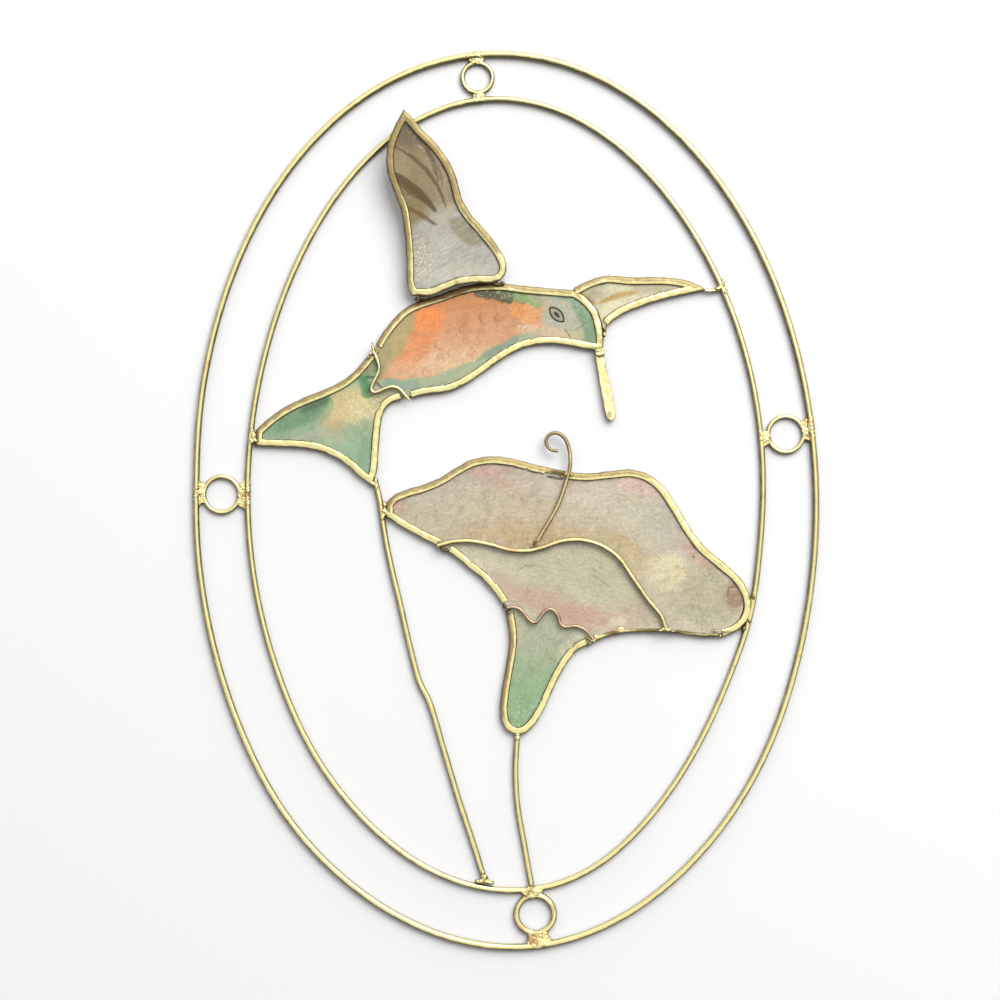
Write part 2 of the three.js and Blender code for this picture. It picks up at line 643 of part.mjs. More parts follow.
const flowerEnvelope = envelope(flower, SOLDER_GAP);

// The upper wing, in its own group, tipped forward about its lower edge
const wing = placedStrokes(WING_EDGE);
const hinge = onPlane(place([-45, WING_HINGE_HEIGHT]), CAME_FRONT_Y - JOINT_GAP);
const wingGroup = new THREE.Group();
wingGroup.position.copy(hinge);
wingGroup.rotation.x = radians(WING_TILT);
suncatcher.add(wingGroup);

function aboutHinge(geometry) {
  return geometry.translate(-hinge.x, 0, -hinge.z);
}

add('wing_frame', aboutHinge(came(wing, 0)), BRASS, wingGroup);
add('wing_shell', aboutHinge(pane(wing, 0)), finishes.wing, wingGroup);
wingGroup.updateMatrix();
const wingEnvelope = aboutHinge(plate(insetLine(wing, -SOLDER_GAP), -2 * CAME_DEPTH, SOLDER_GAP));
wingEnvelope.applyMatrix4(wingGroup.matrix);

// Solder between the rings and the hoops
for (const ring of RINGS) {
  add(`${ring.name}_ring`, ringGeometry(ring), BRASS);
  const ringCutter = ringGeometry(ring, SOLDER_GAP);
  const outside = ring.hole / 2 + ring.wire;
  const turn = radians(ring.angle);
  const distance = ringCentre(ring).length();
  const sides = [
    { name: 'inner', hoop: innerHoop, line: innerLine, sign: -1 },
    { name: 'outer', hoop: outerHoop, line: outerLine, sign: 1 },
  ];
  sides.forEach(({ name, hoop, line, sign }, index) => {
    const rim = distance + sign * outside;
    const wireFace = reach(line, ring.angle) - (sign * hoop.wire) / 2;
    const middle = new THREE.Vector2((rim + wireFace) / 2, 0).rotateAround(origin2, turn);
    const halfSizes = [Math.abs(wireFace - rim) / 2 + ring.wire, hoop.wire * 0.7, ring.spread[index] / 2];
    const y = BACK_Y - hoop.wire / 2;
    const cutters = [ringCutter, innerHoopCutter, outerHoopCutter, flowerStemCutter];
    add(`${ring.name}_ring_${name}_solder`, solder(middle, y, halfSizes, turn, cutters), SOLDER);
  });
}

// Solder at the other joints: cartoon spot, height, half sizes and what it joins
const middleY = BACK_Y - CAME_DEPTH / 2;
const overY = CAME_FRONT_Y - SOLDER_GAP - 0.3;
const JOINTS = [
  ['tail_tip_solder', [-253, 53], middleY, [1.9, 1.1, 3], [innerHoopCutter, birdEnvelope]],
  ['link_solder', [216.5, 204], middleY, [1.6, 1.1, 1.9], [innerHoopCutter, linkCutter]],
  ['flower_right_solder', [244, -112], middleY, [1.4, 1.1, 3.2], [innerHoopCutter, flowerEnvelope]],
  ['stem_top_solder', [-129.5, 9], middleY, [1.7, 1.1, 1.9], [supportStemCutter, birdEnvelope]],
  ['stem_foot_solder', [-20, -391], middleY, [3, 1.2, 2.2], [innerHoopCutter, supportStemCutter]],
  ['flower_left_solder', [-121.5, -20], middleY, [1.6, 1.2, 2.8], [supportStemCutter, flowerEnvelope]],
  ['flower_stem_solder', [12.3, -246], middleY, [1.4, 1, 1.6], [flowerStemCutter, flowerEnvelope]],
  ['stamen_solder', [63.5, 17], overY, [1.7, 0.8, 1.5], [stamenCutter, flowerEnvelope]],
  ['stamen_foot_solder', [30.5, -54.5], overY, [1.8, 0.8, 1.4],
    [stamenCutter, petalWireCutter, flowerEnvelope]],
  ['petal_wire_solder', [161, -139], overY, [1.3, 0.8, 1.3], [petalWireCutter, flowerEnvelope]],
  ['tail_wire_solder', [-131, 140], overY, [1.2, 0.8, 1.5], [tailWireCutter, birdEnvelope]],
  ['beak_solder', [96, 139], overY, [2.2, 0.8, 2], [birdEnvelope, beakEnvelope]],
  ['back_wing_top_solder', [71, 203], middleY, [1.4, 1.3, 1.3], [birdEnvelope, backWingEnvelope]],
  ['back_wing_foot_solder', [100, 160], middleY, [1.3, 1.3, 1.5], [birdEnvelope, backWingEnvelope]],
  ['wing_left_solder', [-84, 191.5], overY, [2.2, 1, 1], [birdEnvelope, wingEnvelope]],
  ['wing_right_solder', [-6, 206.5], overY, [1.5, 1, 1], [birdEnvelope, wingEnvelope]],
];

for (const [name, spot, y, halfSizes, cutters] of JOINTS) {
  add(name, solder(place(spot), y, halfSizes, 0, cutters), SOLDER);
}

// Solder in the breaks of the flower's came, around the edge of the shell
const flowerPaneClear = (() => {
  const line = insetLine(flower, CAME_WEB + PANE_CLEARANCE - SOLDER_GAP);
  const backY = BACK_Y - CAME_FLANGE - PANE_CLEARANCE + SOLDER_GAP;
  return plate(line, backY - PANE_THICKNESS - 2 * SOLDER_GAP, backY);
})();

for (const gap of FLOWER_BREAKS) {
  const spot = place(gap.at);
  const cutters = [flowerPaneClear, petalWireCutter, calyxWireCutter];
  const bounds = breakBlock(flower, gap, 2 * SOLDER_GAP);
  const halfSizes = [gap.length, CAME_DEPTH * 0.6, gap.length];
  add(gap.name, solder(spot, middleY, halfSizes, 0, cutters, bounds), SOLDER);
}

// The whole hangs from the middle of the top ring's hole
const hanging = ringCentre(RINGS[0]);
suncatcher.position.set(-hanging.x, 0, -hanging.y);

export default suncatcher;
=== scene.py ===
import math

import bmesh
import bpy
from bpy.props import FloatProperty, FloatVectorProperty, PointerProperty
from bpy.types import Operator, Panel, PropertyGroup
from mathutils import Matrix, Vector, geometry, noise


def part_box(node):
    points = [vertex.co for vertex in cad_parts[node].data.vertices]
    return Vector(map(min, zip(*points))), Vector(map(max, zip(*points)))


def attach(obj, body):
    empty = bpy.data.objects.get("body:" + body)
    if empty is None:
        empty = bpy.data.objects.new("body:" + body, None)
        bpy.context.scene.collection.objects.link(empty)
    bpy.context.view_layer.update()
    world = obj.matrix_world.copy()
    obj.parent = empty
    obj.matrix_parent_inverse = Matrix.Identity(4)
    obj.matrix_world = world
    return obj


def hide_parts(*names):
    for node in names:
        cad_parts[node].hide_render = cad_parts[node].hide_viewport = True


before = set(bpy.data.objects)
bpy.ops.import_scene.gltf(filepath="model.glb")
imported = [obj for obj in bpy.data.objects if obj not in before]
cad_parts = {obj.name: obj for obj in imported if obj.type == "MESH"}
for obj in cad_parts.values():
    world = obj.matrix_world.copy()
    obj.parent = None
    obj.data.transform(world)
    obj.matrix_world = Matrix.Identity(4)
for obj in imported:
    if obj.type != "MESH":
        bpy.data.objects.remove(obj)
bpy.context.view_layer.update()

bl_info = {
    "name": "Capiz Shell Suncatcher",
    "version": (1, 0, 0),
    "blender": (4, 5, 0),
    "location": "3D View > Sidebar > Suncatcher",
    "description": "A hummingbird and a trumpet flower of capiz shell in two hoops of brass wire",
    "category": "Add Mesh",
}

MM = 0.001

# Hoops: the sizes that they are bent to, in millimetres and degrees
INNER_HALF = Vector((72.6, 111.6))
INNER_WIRE = 1.7
OUTER_WIRE = 1.9
INNER_LEAN = 3.5
OUTER_LEAN = 2.35
INNER_BENDS = ((3, 0.37, 43), (4, 0.68, 31))
OUTER_BENDS = ((3, 0.21, 14), (4, 0.2, 156))
FRAME_HOOP_STEPS = 48
# Local bulges where a hoop was bent out by hand: direction, height and half width
INNER_BULGES = ((281, 0.9, 11), (333, 0.85, 11), (234, 0.5, 12))
OUTER_BULGES = ((273, 0.7, 14), (234, 0.6, 12), (312, 0.35, 14), (80, 0.3, 14), (174, -0.4, 10))

# Rings: direction from the inner hoop's centre, hole, wire, slack on each side, and how far the
# solder spreads along the inner and along the outer hoop
RINGS = {
    "top": dict(angle=89.75, hole=7.2, wire=1.3, space=0.25, spread=(5.4, 8.6)),
    "right": dict(angle=7.87, hole=8.8, wire=1.3, space=0.75, spread=(6.2, 8.4)),
    "bottom": dict(angle=270.25, hole=9.0, wire=1.7, space=0.75, spread=(10.4, 12.4)),
    "left": dict(angle=176.3, hole=8.8, wire=1.3, space=0.75, spread=(10.0, 7.8)),
}

# The cartoon that the figures are drawn on: its units run right and up, and it leans
CARTOON_HALF = Vector((256, 394))
CARTOON_LEAN = 3.95
CARTOON_OFFSET = Vector((0.2, 0.7))
UNIT = Vector((INNER_HALF.x / CARTOON_HALF.x, INNER_HALF.y / CARTOON_HALF.y))

# Depths, in millimetres: the backs lie in one plane and the fronts face -Y
BACK_Y = 0.65
CAME_DEPTH = 1.9
CAME_FRONT_Y = BACK_Y - CAME_DEPTH
OVERLAY_GAP = 0.15
WING_TILT = 6
WING_HINGE_HEIGHT = 195
WING_GAP = 0.3

# Outer edges of the came, stroke by stroke, with a corner between strokes
WING_EDGE = (
    ((-100.5, 379), (-89, 367), (-84, 361), (-65, 341), (-52, 321), (-46, 303), (-42.5, 290),
     (-35, 277), (-21, 261), (-8, 245), (0, 231), (1.5, 221), (-3, 212), (-12, 208), (-30, 208),
     (-45, 206), (-60, 200.5), (-74, 195.5), (-93, 195)),
    ((-93, 195), (-97.5, 207), (-98, 229), (-100, 256), (-103.5, 280), (-111, 300), (-117, 319),
     (-117, 341), (-111, 359), (-100.5, 379)),
)
BIRD_EDGE = (
    ((-133.5, 5.5), (-128.5, 19), (-126.5, 41), (-124.5, 64), (-122, 77), (-116, 86),
     (-104, 91.5), (-93, 93), (-81, 96), (-65, 98), (-50, 101.5), (-35, 109.5), (-20, 119.5),
     (-5, 130.5), (10, 139.5), (25, 145), (43, 147), (65, 145), (83, 141.5), (98, 139)),
    ((98, 139), (98.5, 153), (96.5, 167), (92, 180.5), (83, 191.5), (71, 200), (58, 201.5),
     (40, 203), (15, 205.5), (0, 207.5), (-15, 208), (-33, 206.5), (-50, 202), (-65, 196.5),
     (-90, 188), (-101, 182), (-111, 172.5), (-121, 160), (-133, 141), (-150, 120.5),
     (-163, 110), (-180, 101.5), (-200, 93.5), (-220, 84), (-237, 72), (-249, 61)),
    ((-249, 61), (-250.5, 45)),
    ((-250.5, 45), (-230, 44), (-205, 43), (-187, 40), (-171, 33.5), (-157, 24.5), (-145, 13.5),
     (-133.5, 5.5)),
)
BACK_WING_EDGE = (
    ((61, 199), (69, 203), (85, 211), (101, 215.3), (125, 213.7), (163, 213.5), (183, 210),
     (195, 205), (201, 201)),
    ((201, 201), (185, 197.7), (163, 192.8), (140, 186), (120, 178), (107, 169.5), (92, 152)),
    ((92, 152), (61, 199)),
)
FLOWER_EDGE = (
    ((0, -118), (-11, -101.5), (-22, -89.5), (-35, -78.5), (-58, -60.5), (-85, -46.5),
     (-103, -36.5), (-119, -26)),
    ((-119, -26), (-119, -13)),
    ((-119, -13), (-112, -5), (-100, 0.5), (-83, 5.5), (-65, 13), (-48, 23.5), (-33, 31),
     (-17, 34), (5, 32.5), (30, 26), (55, 20.5), (80, 17.3), (105, 19.5), (126, 21), (143, 16.5),
     (157, 6), (171, -13.5), (185, -37), (199, -55.5), (217, -71), (234, -86), (241, -96.5),
     (245.5, -107.5), (246, -120), (241, -132), (231, -141), (218, -145.5), (195, -146),
     (175, -143.5), (143, -141.5), (110, -144), (88, -152)),
    ((88, -152), (72, -160.5), (64, -170), (55, -185), (46, -204), (37, -223), (28, -236),
     (19, -243), (10, -244), (2, -240), (-3.5, -231), (-5, -219), (-3.5, -203), (0, -181),
     (3.5, -161), (4.5, -145), (3, -132), (0, -118)),
)
BEAK_EDGE = (
    ((91, 143), (90, 137), (92.5, 121), (96, 99), (99.8, 80), (101.7, 73.5), (106, 69.8), (110.2, 73),
     (110.3, 80), (107, 97), (103, 115), (99.5, 132), (98.5, 143)),
    ((98.5, 143), (91, 143)),
)

# Middle lines of the wires
TAIL_WIRE_LINE = (
    (-132.7, 147.5), (-132, 141), (-129, 134), (-126.4, 127), (-126, 120), (-129, 113),
    (-132, 107), (-133.7, 101.5), (-131.5, 98.5), (-126, 99.5), (-119, 102.5), (-112, 104),
    (-106, 102), (-101, 97), (-93.5, 88.5),
)
PETAL_WIRE_LINE = (
    (-67.5, -55), (-55, -51.5), (-35, -50.3), (-15, -53.8), (5, -59.3), (23, -60), (37, -57),
    (55, -50.8), (75, -49.2), (95, -54.3), (113, -66.5), (127, -86), (143, -109), (156, -125),
    (161, -138),
)
CALYX_WIRE_LINE = (
    (2, -117), (8, -116.5), (14, -118), (19, -122.5), (23, -128), (27.5, -131.5), (31.5, -131),
    (35, -127), (38.5, -122), (42.5, -119), (46.5, -118.5), (50.5, -121.5), (53.5, -126.5),
    (55, -132.5), (58.5, -135.8), (64, -136), (70, -135.3), (76, -137), (81, -140),
    (85.5, -145), (88.5, -149),
)
STAMEN_LINE = (
    (53, 39.5), (47, 40.5), (43, 43.5), (41, 48.5), (42.5, 54), (47, 57.2), (52, 57.5), (57, 55),
    (61, 50), (63.7, 43), (65, 35), (65.2, 27), (64, 19), (61.5, 10), (58, -1), (54, -12),
    (48.5, -23), (42, -34), (32.5, -50),
)
LINK_LINE = ((200, 200.8), (205, 200.2), (210, 200.6), (216, 202), (220, 203.5))
SUPPORT_STEM_LINE = (
    (-129.5, 8), (-125.5, -9), (-122.7, -29), (-119.5, -49), (-115.5, -69), (-111, -89),
    (-106, -109), (-95, -157), (-85, -193), (-76, -211), (-61.5, -259), (-46.5, -309),
    (-30, -359), (-20, -392),
)
FLOWER_STEM_LINE = ((12.3, -244), (10.5, -280), (12.5, -315), (19, -353), (26.5, -395))

# Places where the came stops and starts again: a point on its edge and the length left open
BIRD_BREAKS = (((-131, 145), 1.5), ((-98.5, 92), 2.8))
FLOWER_BREAKS = (((-61, -59), 2.8), ((-0.5, -118.5), 2.2), ((87, -151), 2.0), ((215.5, -145), 1.3))
BACK_WING_BREAKS = (((76.5, 175.5), 16.0),)

# Places where the face is torn back: a point on its edge, the length, and the width that is left
BIRD_BITES = (((-59, 99), 1.2, 1.6), ((4, 137), 1.0, 1.7), ((27, 145.3), 0.9, 1.6), ((-120, 81), 1.5, 1.5))
FLOWER_BITES = (
    ((23, 27.5), 0.8, 1.5), ((48, 22), 4.6, 1.25), ((37, 25), 0.7, 1.6),
    ((103, -144.5), 6.0, 1.2), ((148, -142), 16.0, 1.0), ((190, -145.5), 11.0, 1.0),
    ((71, -161), 1.1, 1.4), ((42, -212), 1.0, 1.6), ((-38, -76), 1.2, 1.6), ((-16, -96), 1.4, 1.7),
)

# Dark places on the came: centre, radii, turn and strength. Some are scorched flux at joints; the bird's first two are
# painted shadow where the raised wing overhangs the body, and the flower's along its seams and joints are painted
# shadow in the gaps between came, shell and wire.
FLOWER_SOOT_AND_SHADOW = (
    ((40, 27), (22, 2.6), -13, 0.9), ((54, 17), (9, 2.6), -14, 0.8), ((60, 19), (3, 5), 0, 0.5),
    ((178, -140.5), (52, 2.4), -2, 0.8), ((104, -142), (14, 2.4), -4, 0.7), ((155, -146), (9, 2), 0, 0.5),
    ((206, -147), (8, 3), 0, 0.6), ((-63, -57), (6, 7), 0, 0.9), ((2, -118), (6, 7), 0, 0.9),
    ((86, -152), (6, 4), -30, 0.7), ((-124, -22), (3, 12), 10, 0.3), ((236, -139), (6, 3), 30, 0.5),
)
# The first two are painted shadow cast by the raised wing on the body's top came
BIRD_SOOT_AND_SHADOW = (
    ((-56, 198), (46, 5), 17, 0.9), ((-18, 206), (16, 4), 4, 0.8), ((-128, 138), (5, 6), 0, 0.5),
    ((98, 150), (4, 12), 0, 0.3), ((-250, 50), (4, 9), 0, 0.4), ((92, 141), (8, 3), -8, 0.35),
)


def default_length(millimetres, words):
    return dict(description=words, default=millimetres * MM, unit="LENGTH", subtype="DISTANCE", precision=5)


def from_srgb(code):
    """Six hexadecimal digits of screen colour, as a linear colour with alpha."""
    parts = [int(code[k:k + 2], 16) / 255 for k in (0, 2, 4)]
    return tuple(c / 12.92 if c <= 0.04045 else ((c + 0.055) / 1.055) ** 2.4 for c in parts) + (1.0,)


def colour_property(name, code, words):
    return FloatVectorProperty(name=name, description=words, subtype="COLOR", size=4, min=0, max=1,
                               default=from_srgb(code))


class SuncatcherSizes(PropertyGroup):
    """Sizes that a maker would change."""
    came_width: FloatProperty(name="Came width", **default_length(2.1, "Width of the channel's face"))
    came_lip: FloatProperty(name="Came lip", **default_length(0.35, "Thickness of the channel's face"))
    shoulder: FloatProperty(name="Came shoulder", **default_length(0.95, "Radius of the outer shoulder"))
    hoop_wobble: FloatProperty(name="Wire unevenness", min=0, max=0.2, default=0.035,
                               description="How unevenly the wire was drawn, as a share of its radius")
    petal_wire: FloatProperty(name="Petal wire", **default_length(1.25, "Wire between the petals"))
    calyx_wire: FloatProperty(name="Calyx wire", **default_length(0.9, "Wavy wire over the calyx"))
    stamen_wire: FloatProperty(name="Stamen wire", **default_length(1.1, "Curled stamen"))
    tail_wire: FloatProperty(name="Tail wire", **default_length(1.0, "Wavy wire over the tail"))
    link_wire: FloatProperty(name="Link wire", **default_length(1.1, "Link at the back wing's tip"))
    support_stem: FloatProperty(name="Support stem", **default_length(1.7, "Wire of the long stem"))
    flower_stem: FloatProperty(name="Flower stem", **default_length(1.6, "Wire of the flower's stem"))
    ripple: FloatProperty(name="Shell ripple", **default_length(0.07, "How far the shell's faces wave"))


class SuncatcherColours(PropertyGroup):
    """Colours of the metal and of the shell."""
    brass: colour_property("Brass", "ECE2A4", "Bright brass")
    tarnish: colour_property("Tarnish", "8A7240", "Brown tarnish on the brass")
    copper: colour_property("Coppery tarnish", "C98F66", "Reddish patches on the brass")
    # The grime colour also paints shade: on the metal's sides and undersides, and as a shadow along the came's inner
    # edge
    soot_and_shade: colour_property("Grime", "2E2612", "Dark grime in the pits and along the edges")
    # The tan is painted shade: on the came's shoulders that face up and left, and on the raised wing's upper came
    matt_and_shade: colour_property("Matt brass", "9A8960", "Came that has gone matt and tan")
    # This colour also paints shadow under the raised wing and in the gaps at seams and joints
    burnt_and_shaded: colour_property("Burnt flux", "45301C", "Dark residue beside the solder")
    peach: colour_property("Breast", "DDA275", "The bird's breast")
    orange: colour_property("Orange", "FF984C", "Bright orange on the breast")
    sage: colour_property("Sage", "ACB994", "Green along the belly")
    emerald: colour_property("Emerald", "749775", "Green of the tail and the crown")
    ochre: colour_property("Ochre", "A08E66", "Upper half of the raised wing")
    pearl: colour_property("Pearl", "C0BDB0", "Lower half of the raised wing")
    petal: colour_property("Petal", "D0C7AE", "The flower's upper petal")
    rose: colour_property("Rose", "CFA795", "Pink blush on the petals")
    mint: colour_property("Mint", "9CBA8C", "The calyx's lower end")


class StageSettings(PropertyGroup):
    """The stage and its light."""
    room: FloatProperty(name="Room light", default=1.0, min=0, description="Strength of the room's light")
    key: FloatProperty(name="Key light", default=17.0, min=0, unit="POWER",
                       description="Strength of the lamp above and to the right")
    gap: FloatProperty(name="Gap behind", **default_length(0.3, "Space between the piece and the backdrop"))


def sizes():
    return bpy.context.scene.suncatcher_sizes


def colours():
    return bpy.context.scene.suncatcher_colours


# Lines in the plane of the piece

def turned(point, degrees):
    """A plane point turned clockwise, as the piece leans."""
    angle = math.radians(degrees)
    return Vector((point.x * math.cos(angle) + point.y * math.sin(angle),
                   point.y * math.cos(angle) - point.x * math.sin(angle)))


def hoop_line(half, lean, bends, steps, bulges=()):
    line = []
    for step in range(steps):
        turn = math.tau * step / steps
        point = Vector((half.x * math.cos(turn), half.y * math.sin(turn)))
        bend = sum(high * math.cos(lobes * turn - math.radians(peak)) for lobes, high, peak in bends)
        way = math.degrees(math.atan2(point.y, point.x))
        for peak, high, width in bulges:
            off = (way - peak + 180) % 360 - 180
            bend += high * math.exp(-(off / width) ** 2)
        line.append(turned(point * (1 + bend / point.length), lean))
    return line


def box_middle(node):
    low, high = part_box(node)
    middle = (low + high) / 2
    return Vector((middle.x, middle.z)) / MM


def line_middle(line):
    xs, zs = [p.x for p in line], [p.y for p in line]
    return Vector((min(xs) + max(xs), min(zs) + max(zs))) / 2


INNER_CENTRE = box_middle("inner_hoop") - line_middle(
    hoop_line(INNER_HALF, INNER_LEAN, INNER_BENDS, FRAME_HOOP_STEPS))


def outer_half_and_centre():
    """The outer hoop is as large as the rings inside it need."""
    bulge = sum(bend[1] for bend in INNER_BENDS)
    span = {name: (INNER_WIRE + OUTER_WIRE) / 2 + ring["hole"] + 2 * (ring["wire"] + ring["space"])
            for name, ring in RINGS.items()}
    half = INNER_HALF + Vector((bulge, bulge))
    half += Vector((span["left"] + span["right"], span["top"] + span["bottom"])) / 2
    return half, Vector((span["right"] - span["left"], span["top"] - span["bottom"])) / 2


def place(point):
    """Cartoon units to millimetres in the plane of the piece."""
    spot = Vector((point[0] * UNIT.x, point[1] * UNIT.y)) + CARTOON_OFFSET
    return turned(spot, CARTOON_LEAN) + INNER_CENTRE


def smooth_line(points, step):
    """A centripetal spline through the points, its spans divided into pieces of about one step."""
    if len(points) == 2:
        pieces = max(1, round((points[1] - points[0]).length / step))
        return [points[0].lerp(points[1], k / pieces) for k in range(pieces + 1)]
    knots = [points[0] * 2 - points[1], *points, points[-1] * 2 - points[-2]]
    line = [points[0].copy()]
    for before, start, end, after in zip(knots, knots[1:], knots[2:], knots[3:]):
        reach = [math.sqrt((b - a).length) for a, b in ((before, start), (start, end), (end, after))]
        leave = ((start - before) / reach[0] - (end - before) / (reach[0] + reach[1])
                 + (end - start) / reach[1]) * reach[1]
        arrive = ((end - start) / reach[1] - (after - start) / (reach[1] + reach[2])
                  + (after - end) / reach[2]) * reach[1]
        pieces = max(1, round((end - start).length / step))
        handles = (start.to_3d(), (start + leave / 3).to_3d(), (end - arrive / 3).to_3d(), end.to_3d())
        line += [p.to_2d() for p in geometry.interpolate_bezier(*handles, pieces + 1)[1:]]
    return line


def placed_strokes(edge, step):
    """The strokes of an edge in millimetres, running anticlockwise, so that inward is to the left."""
    strokes = [smooth_line([place(point) for point in stroke], step) for stroke in edge]
    loop = [point for stroke in strokes for point in stroke[:-1]]
    area = sum(a.cross(b) for a, b in zip(loop, loop[1:] + loop[:1]))
    if area > 0:
        return strokes
    return [stroke[::-1] for stroke in reversed(strokes)]


def left_of(start, end):
    along = (end - start).normalized()
    return Vector((-along.y, along.x))


def shifted(line, distance):
    """An open line moved to its left, mitred at its points."""
    ways = [left_of(a, b) for a, b in zip(line, line[1:])]
    moved = [line[0] + ways[0] * distance]
    for point, before, after in zip(line[1:], ways, ways[1:]):
        middle = (before + after).normalized()
        moved.append(point + middle * (distance / middle.dot(after)))
    return moved + [line[-1] + ways[-1] * distance]


def meeting(a0, a1, b0, b1):
    """Where two straight pieces meet: the share along each, or None if they are parallel."""
    a, b, between = a1 - a0, b1 - b0, b0 - a0
    turn = a.cross(b)
    if abs(turn) < 1e-9:
        return None
    return between.cross(b) / turn, between.cross(a) / turn


def trim_corner(first, second):
    """Draws what runs past the crossing of two shifted strokes back to it."""
    last = len(first) - 1
    half_first, half_second = math.ceil(last / 2), math.ceil((len(second) - 1) / 2)
    for reach_back in range(half_first + half_second):
        for back in range(reach_back + 1):
            a, b = last - 1 - back, reach_back - back
            if back >= half_first or b >= half_second:
                continue
            shares = meeting(first[a], first[a + 1], second[b], second[b + 1])
            if not shares or not all(0 <= share <= 1 for share in shares):
                continue
            corner = first[a].lerp(first[a + 1], shares[0])
            first[a + 1:] = [corner.copy() for _ in first[a + 1:]]
            second[:b + 1] = [corner.copy() for _ in second[:b + 1]]
            return
    shares = meeting(first[last - 1], first[last], second[0], second[1])
    corner = first[last - 1].lerp(first[last], shares[0]) if shares else first[last].copy()
    first[last], second[0] = corner, corner.copy()


def inset_line(strokes, distance):
    """The closed line that lies a given distance inside an edge."""
    moved = [shifted(stroke, distance) for stroke in strokes]
    for index, stroke in enumerate(moved):
        trim_corner(stroke, moved[(index + 1) % len(moved)])
    return [point for stroke in moved for point in stroke[:-1]]


def on_plane(point, y):
    """A plane point in millimetres, as a point of the frame in metres."""
    return Vector((point.x, y, point.y)) * MM


# Meshes

def finished(name, mesh, finish, nodes, smooth=35):
    """A piece with its material, its edges smooth below an angle, standing for CAD nodes."""
    for polygon in mesh.polygons:
        polygon.use_smooth = True
    mesh.set_sharp_from_angle(angle=math.radians(smooth))
    mesh.materials.clear()
    mesh.materials.append(finish)
    piece = bpy.data.objects.new(name, mesh)
    bpy.context.scene.collection.objects.link(piece)
    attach(piece, "root")
    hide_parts(*nodes)
    return piece


def mesh_of(bm, name):
    """A mesh from a bmesh, with its doubles merged and its faces pointing out."""
    bmesh.ops.remove_doubles(bm, verts=bm.verts, dist=0.002 * MM)
    bmesh.ops.dissolve_degenerate(bm, edges=bm.edges, dist=0.001 * MM)
    bmesh.ops.recalc_face_normals(bm, faces=bm.faces)
    mesh = bpy.data.meshes.new(name)
    bm.to_mesh(mesh)
    bm.free()
    return mesh


def evaluated_mesh(source, name):
    """The mesh that an object's curve or modifiers give; the object itself is removed."""
    bpy.context.scene.collection.objects.link(source)
    bpy.context.view_layer.update()
    graph = bpy.context.evaluated_depsgraph_get()
    mesh = bpy.data.meshes.new_from_object(source.evaluated_get(graph))
    mesh.name = name
    bpy.data.objects.remove(source)
    return mesh


def dent(mesh, height, grain, seed, along_normal=True):
    """Uneven hand work: moves each vertex by a smooth noise of a given height and grain."""
    away = Vector((seed * 7.31, seed * 3.77, seed * 5.13))
    ways = [vertex.normal.copy() if along_normal else Vector((0, 1, 0)) for vertex in mesh.vertices]
    for vertex, way in zip(mesh.vertices, ways):
        lift = noise.fractal(vertex.co / (grain * MM) + away, 0.6, 2.1, 3) * height * MM
        vertex.co += way * lift


def wire_mesh(name, line, diameter, y, closed=False, swell=None, seed=0):
    """Drawn wire along a line; swell gives the radius at each share of its length."""
    curve = bpy.data.curves.new(name, "CURVE")
    curve.dimensions = "3D"
    curve.bevel_depth = diameter / 2
    curve.bevel_resolution = 4
    curve.use_fill_caps = True
    spline = curve.splines.new("POLY")
    spline.points.add(len(line) - 1)
    spline.use_cyclic_u = closed
    wobble = sizes().hoop_wobble
    for index, (point, place_on) in enumerate(zip(spline.points, line)):
        spot = on_plane(place_on, y(index / (len(line) - 1)) if callable(y) else y)
        uneven = noise.noise(spot * 300 + Vector((seed, 0, seed))) * wobble
        point.co = (*spot, 1)
        point.radius = (1 + uneven) * (swell(index / (len(line) - 1)) if swell else 1)
    return evaluated_mesh(bpy.data.objects.new(name, curve), name)


def came_section():
    """The channel's outline: how far in from its edge, and how far forward of its back."""
    s = sizes()
    width, lip, shoulder = s.came_width / MM, s.came_lip / MM, s.shoulder / MM
    arc = []
    for k in range(7):
        turn = math.radians(90 * k / 6)
        arc.append((shoulder * (1 - math.cos(turn)), CAME_DEPTH - 0.62 * shoulder * (1 - math.sin(turn))))
    crown = [(width * 0.62, CAME_DEPTH + 0.02), (width - 0.16, CAME_DEPTH - 0.03)]
    edge = [(width - 0.04, CAME_DEPTH - 0.09), (width, CAME_DEPTH - 0.2), (width - 0.05, CAME_DEPTH - lip)]
    channel = [(0.4, CAME_DEPTH - lip), (0.4, lip), (width - 0.05, lip), (width, lip / 2), (width - 0.1, 0)]
    return [(0.12, 0), (0, 0.12), *arc, *crown, *edge, *channel]


def near_any(point, places):
    """The first of the places, each a spot and a length, whose middle half-length covers a point."""
    for entry in places:
        if (point - place(entry[0])).length < entry[1] / 2:
            return entry
    return None


def kept_runs(edge, breaks):
    """Which stretches of a closed edge stay, as runs of indices; one closed run if none is open."""
    open_at = {index for index, point in enumerate(edge) if near_any(point, breaks)}
    if not open_at:
        return [list(range(len(edge)))], True
    first = max(open_at)
    order = [(first + 1 + k) % len(edge) for k in range(len(edge))]
    runs, run = [], []
    for index in order:
        if index in open_at:
            if len(run) > 2:
                runs.append(run)
            run = []
        else:
            run.append(index)
    return runs + ([run] if len(run) > 2 else []), False


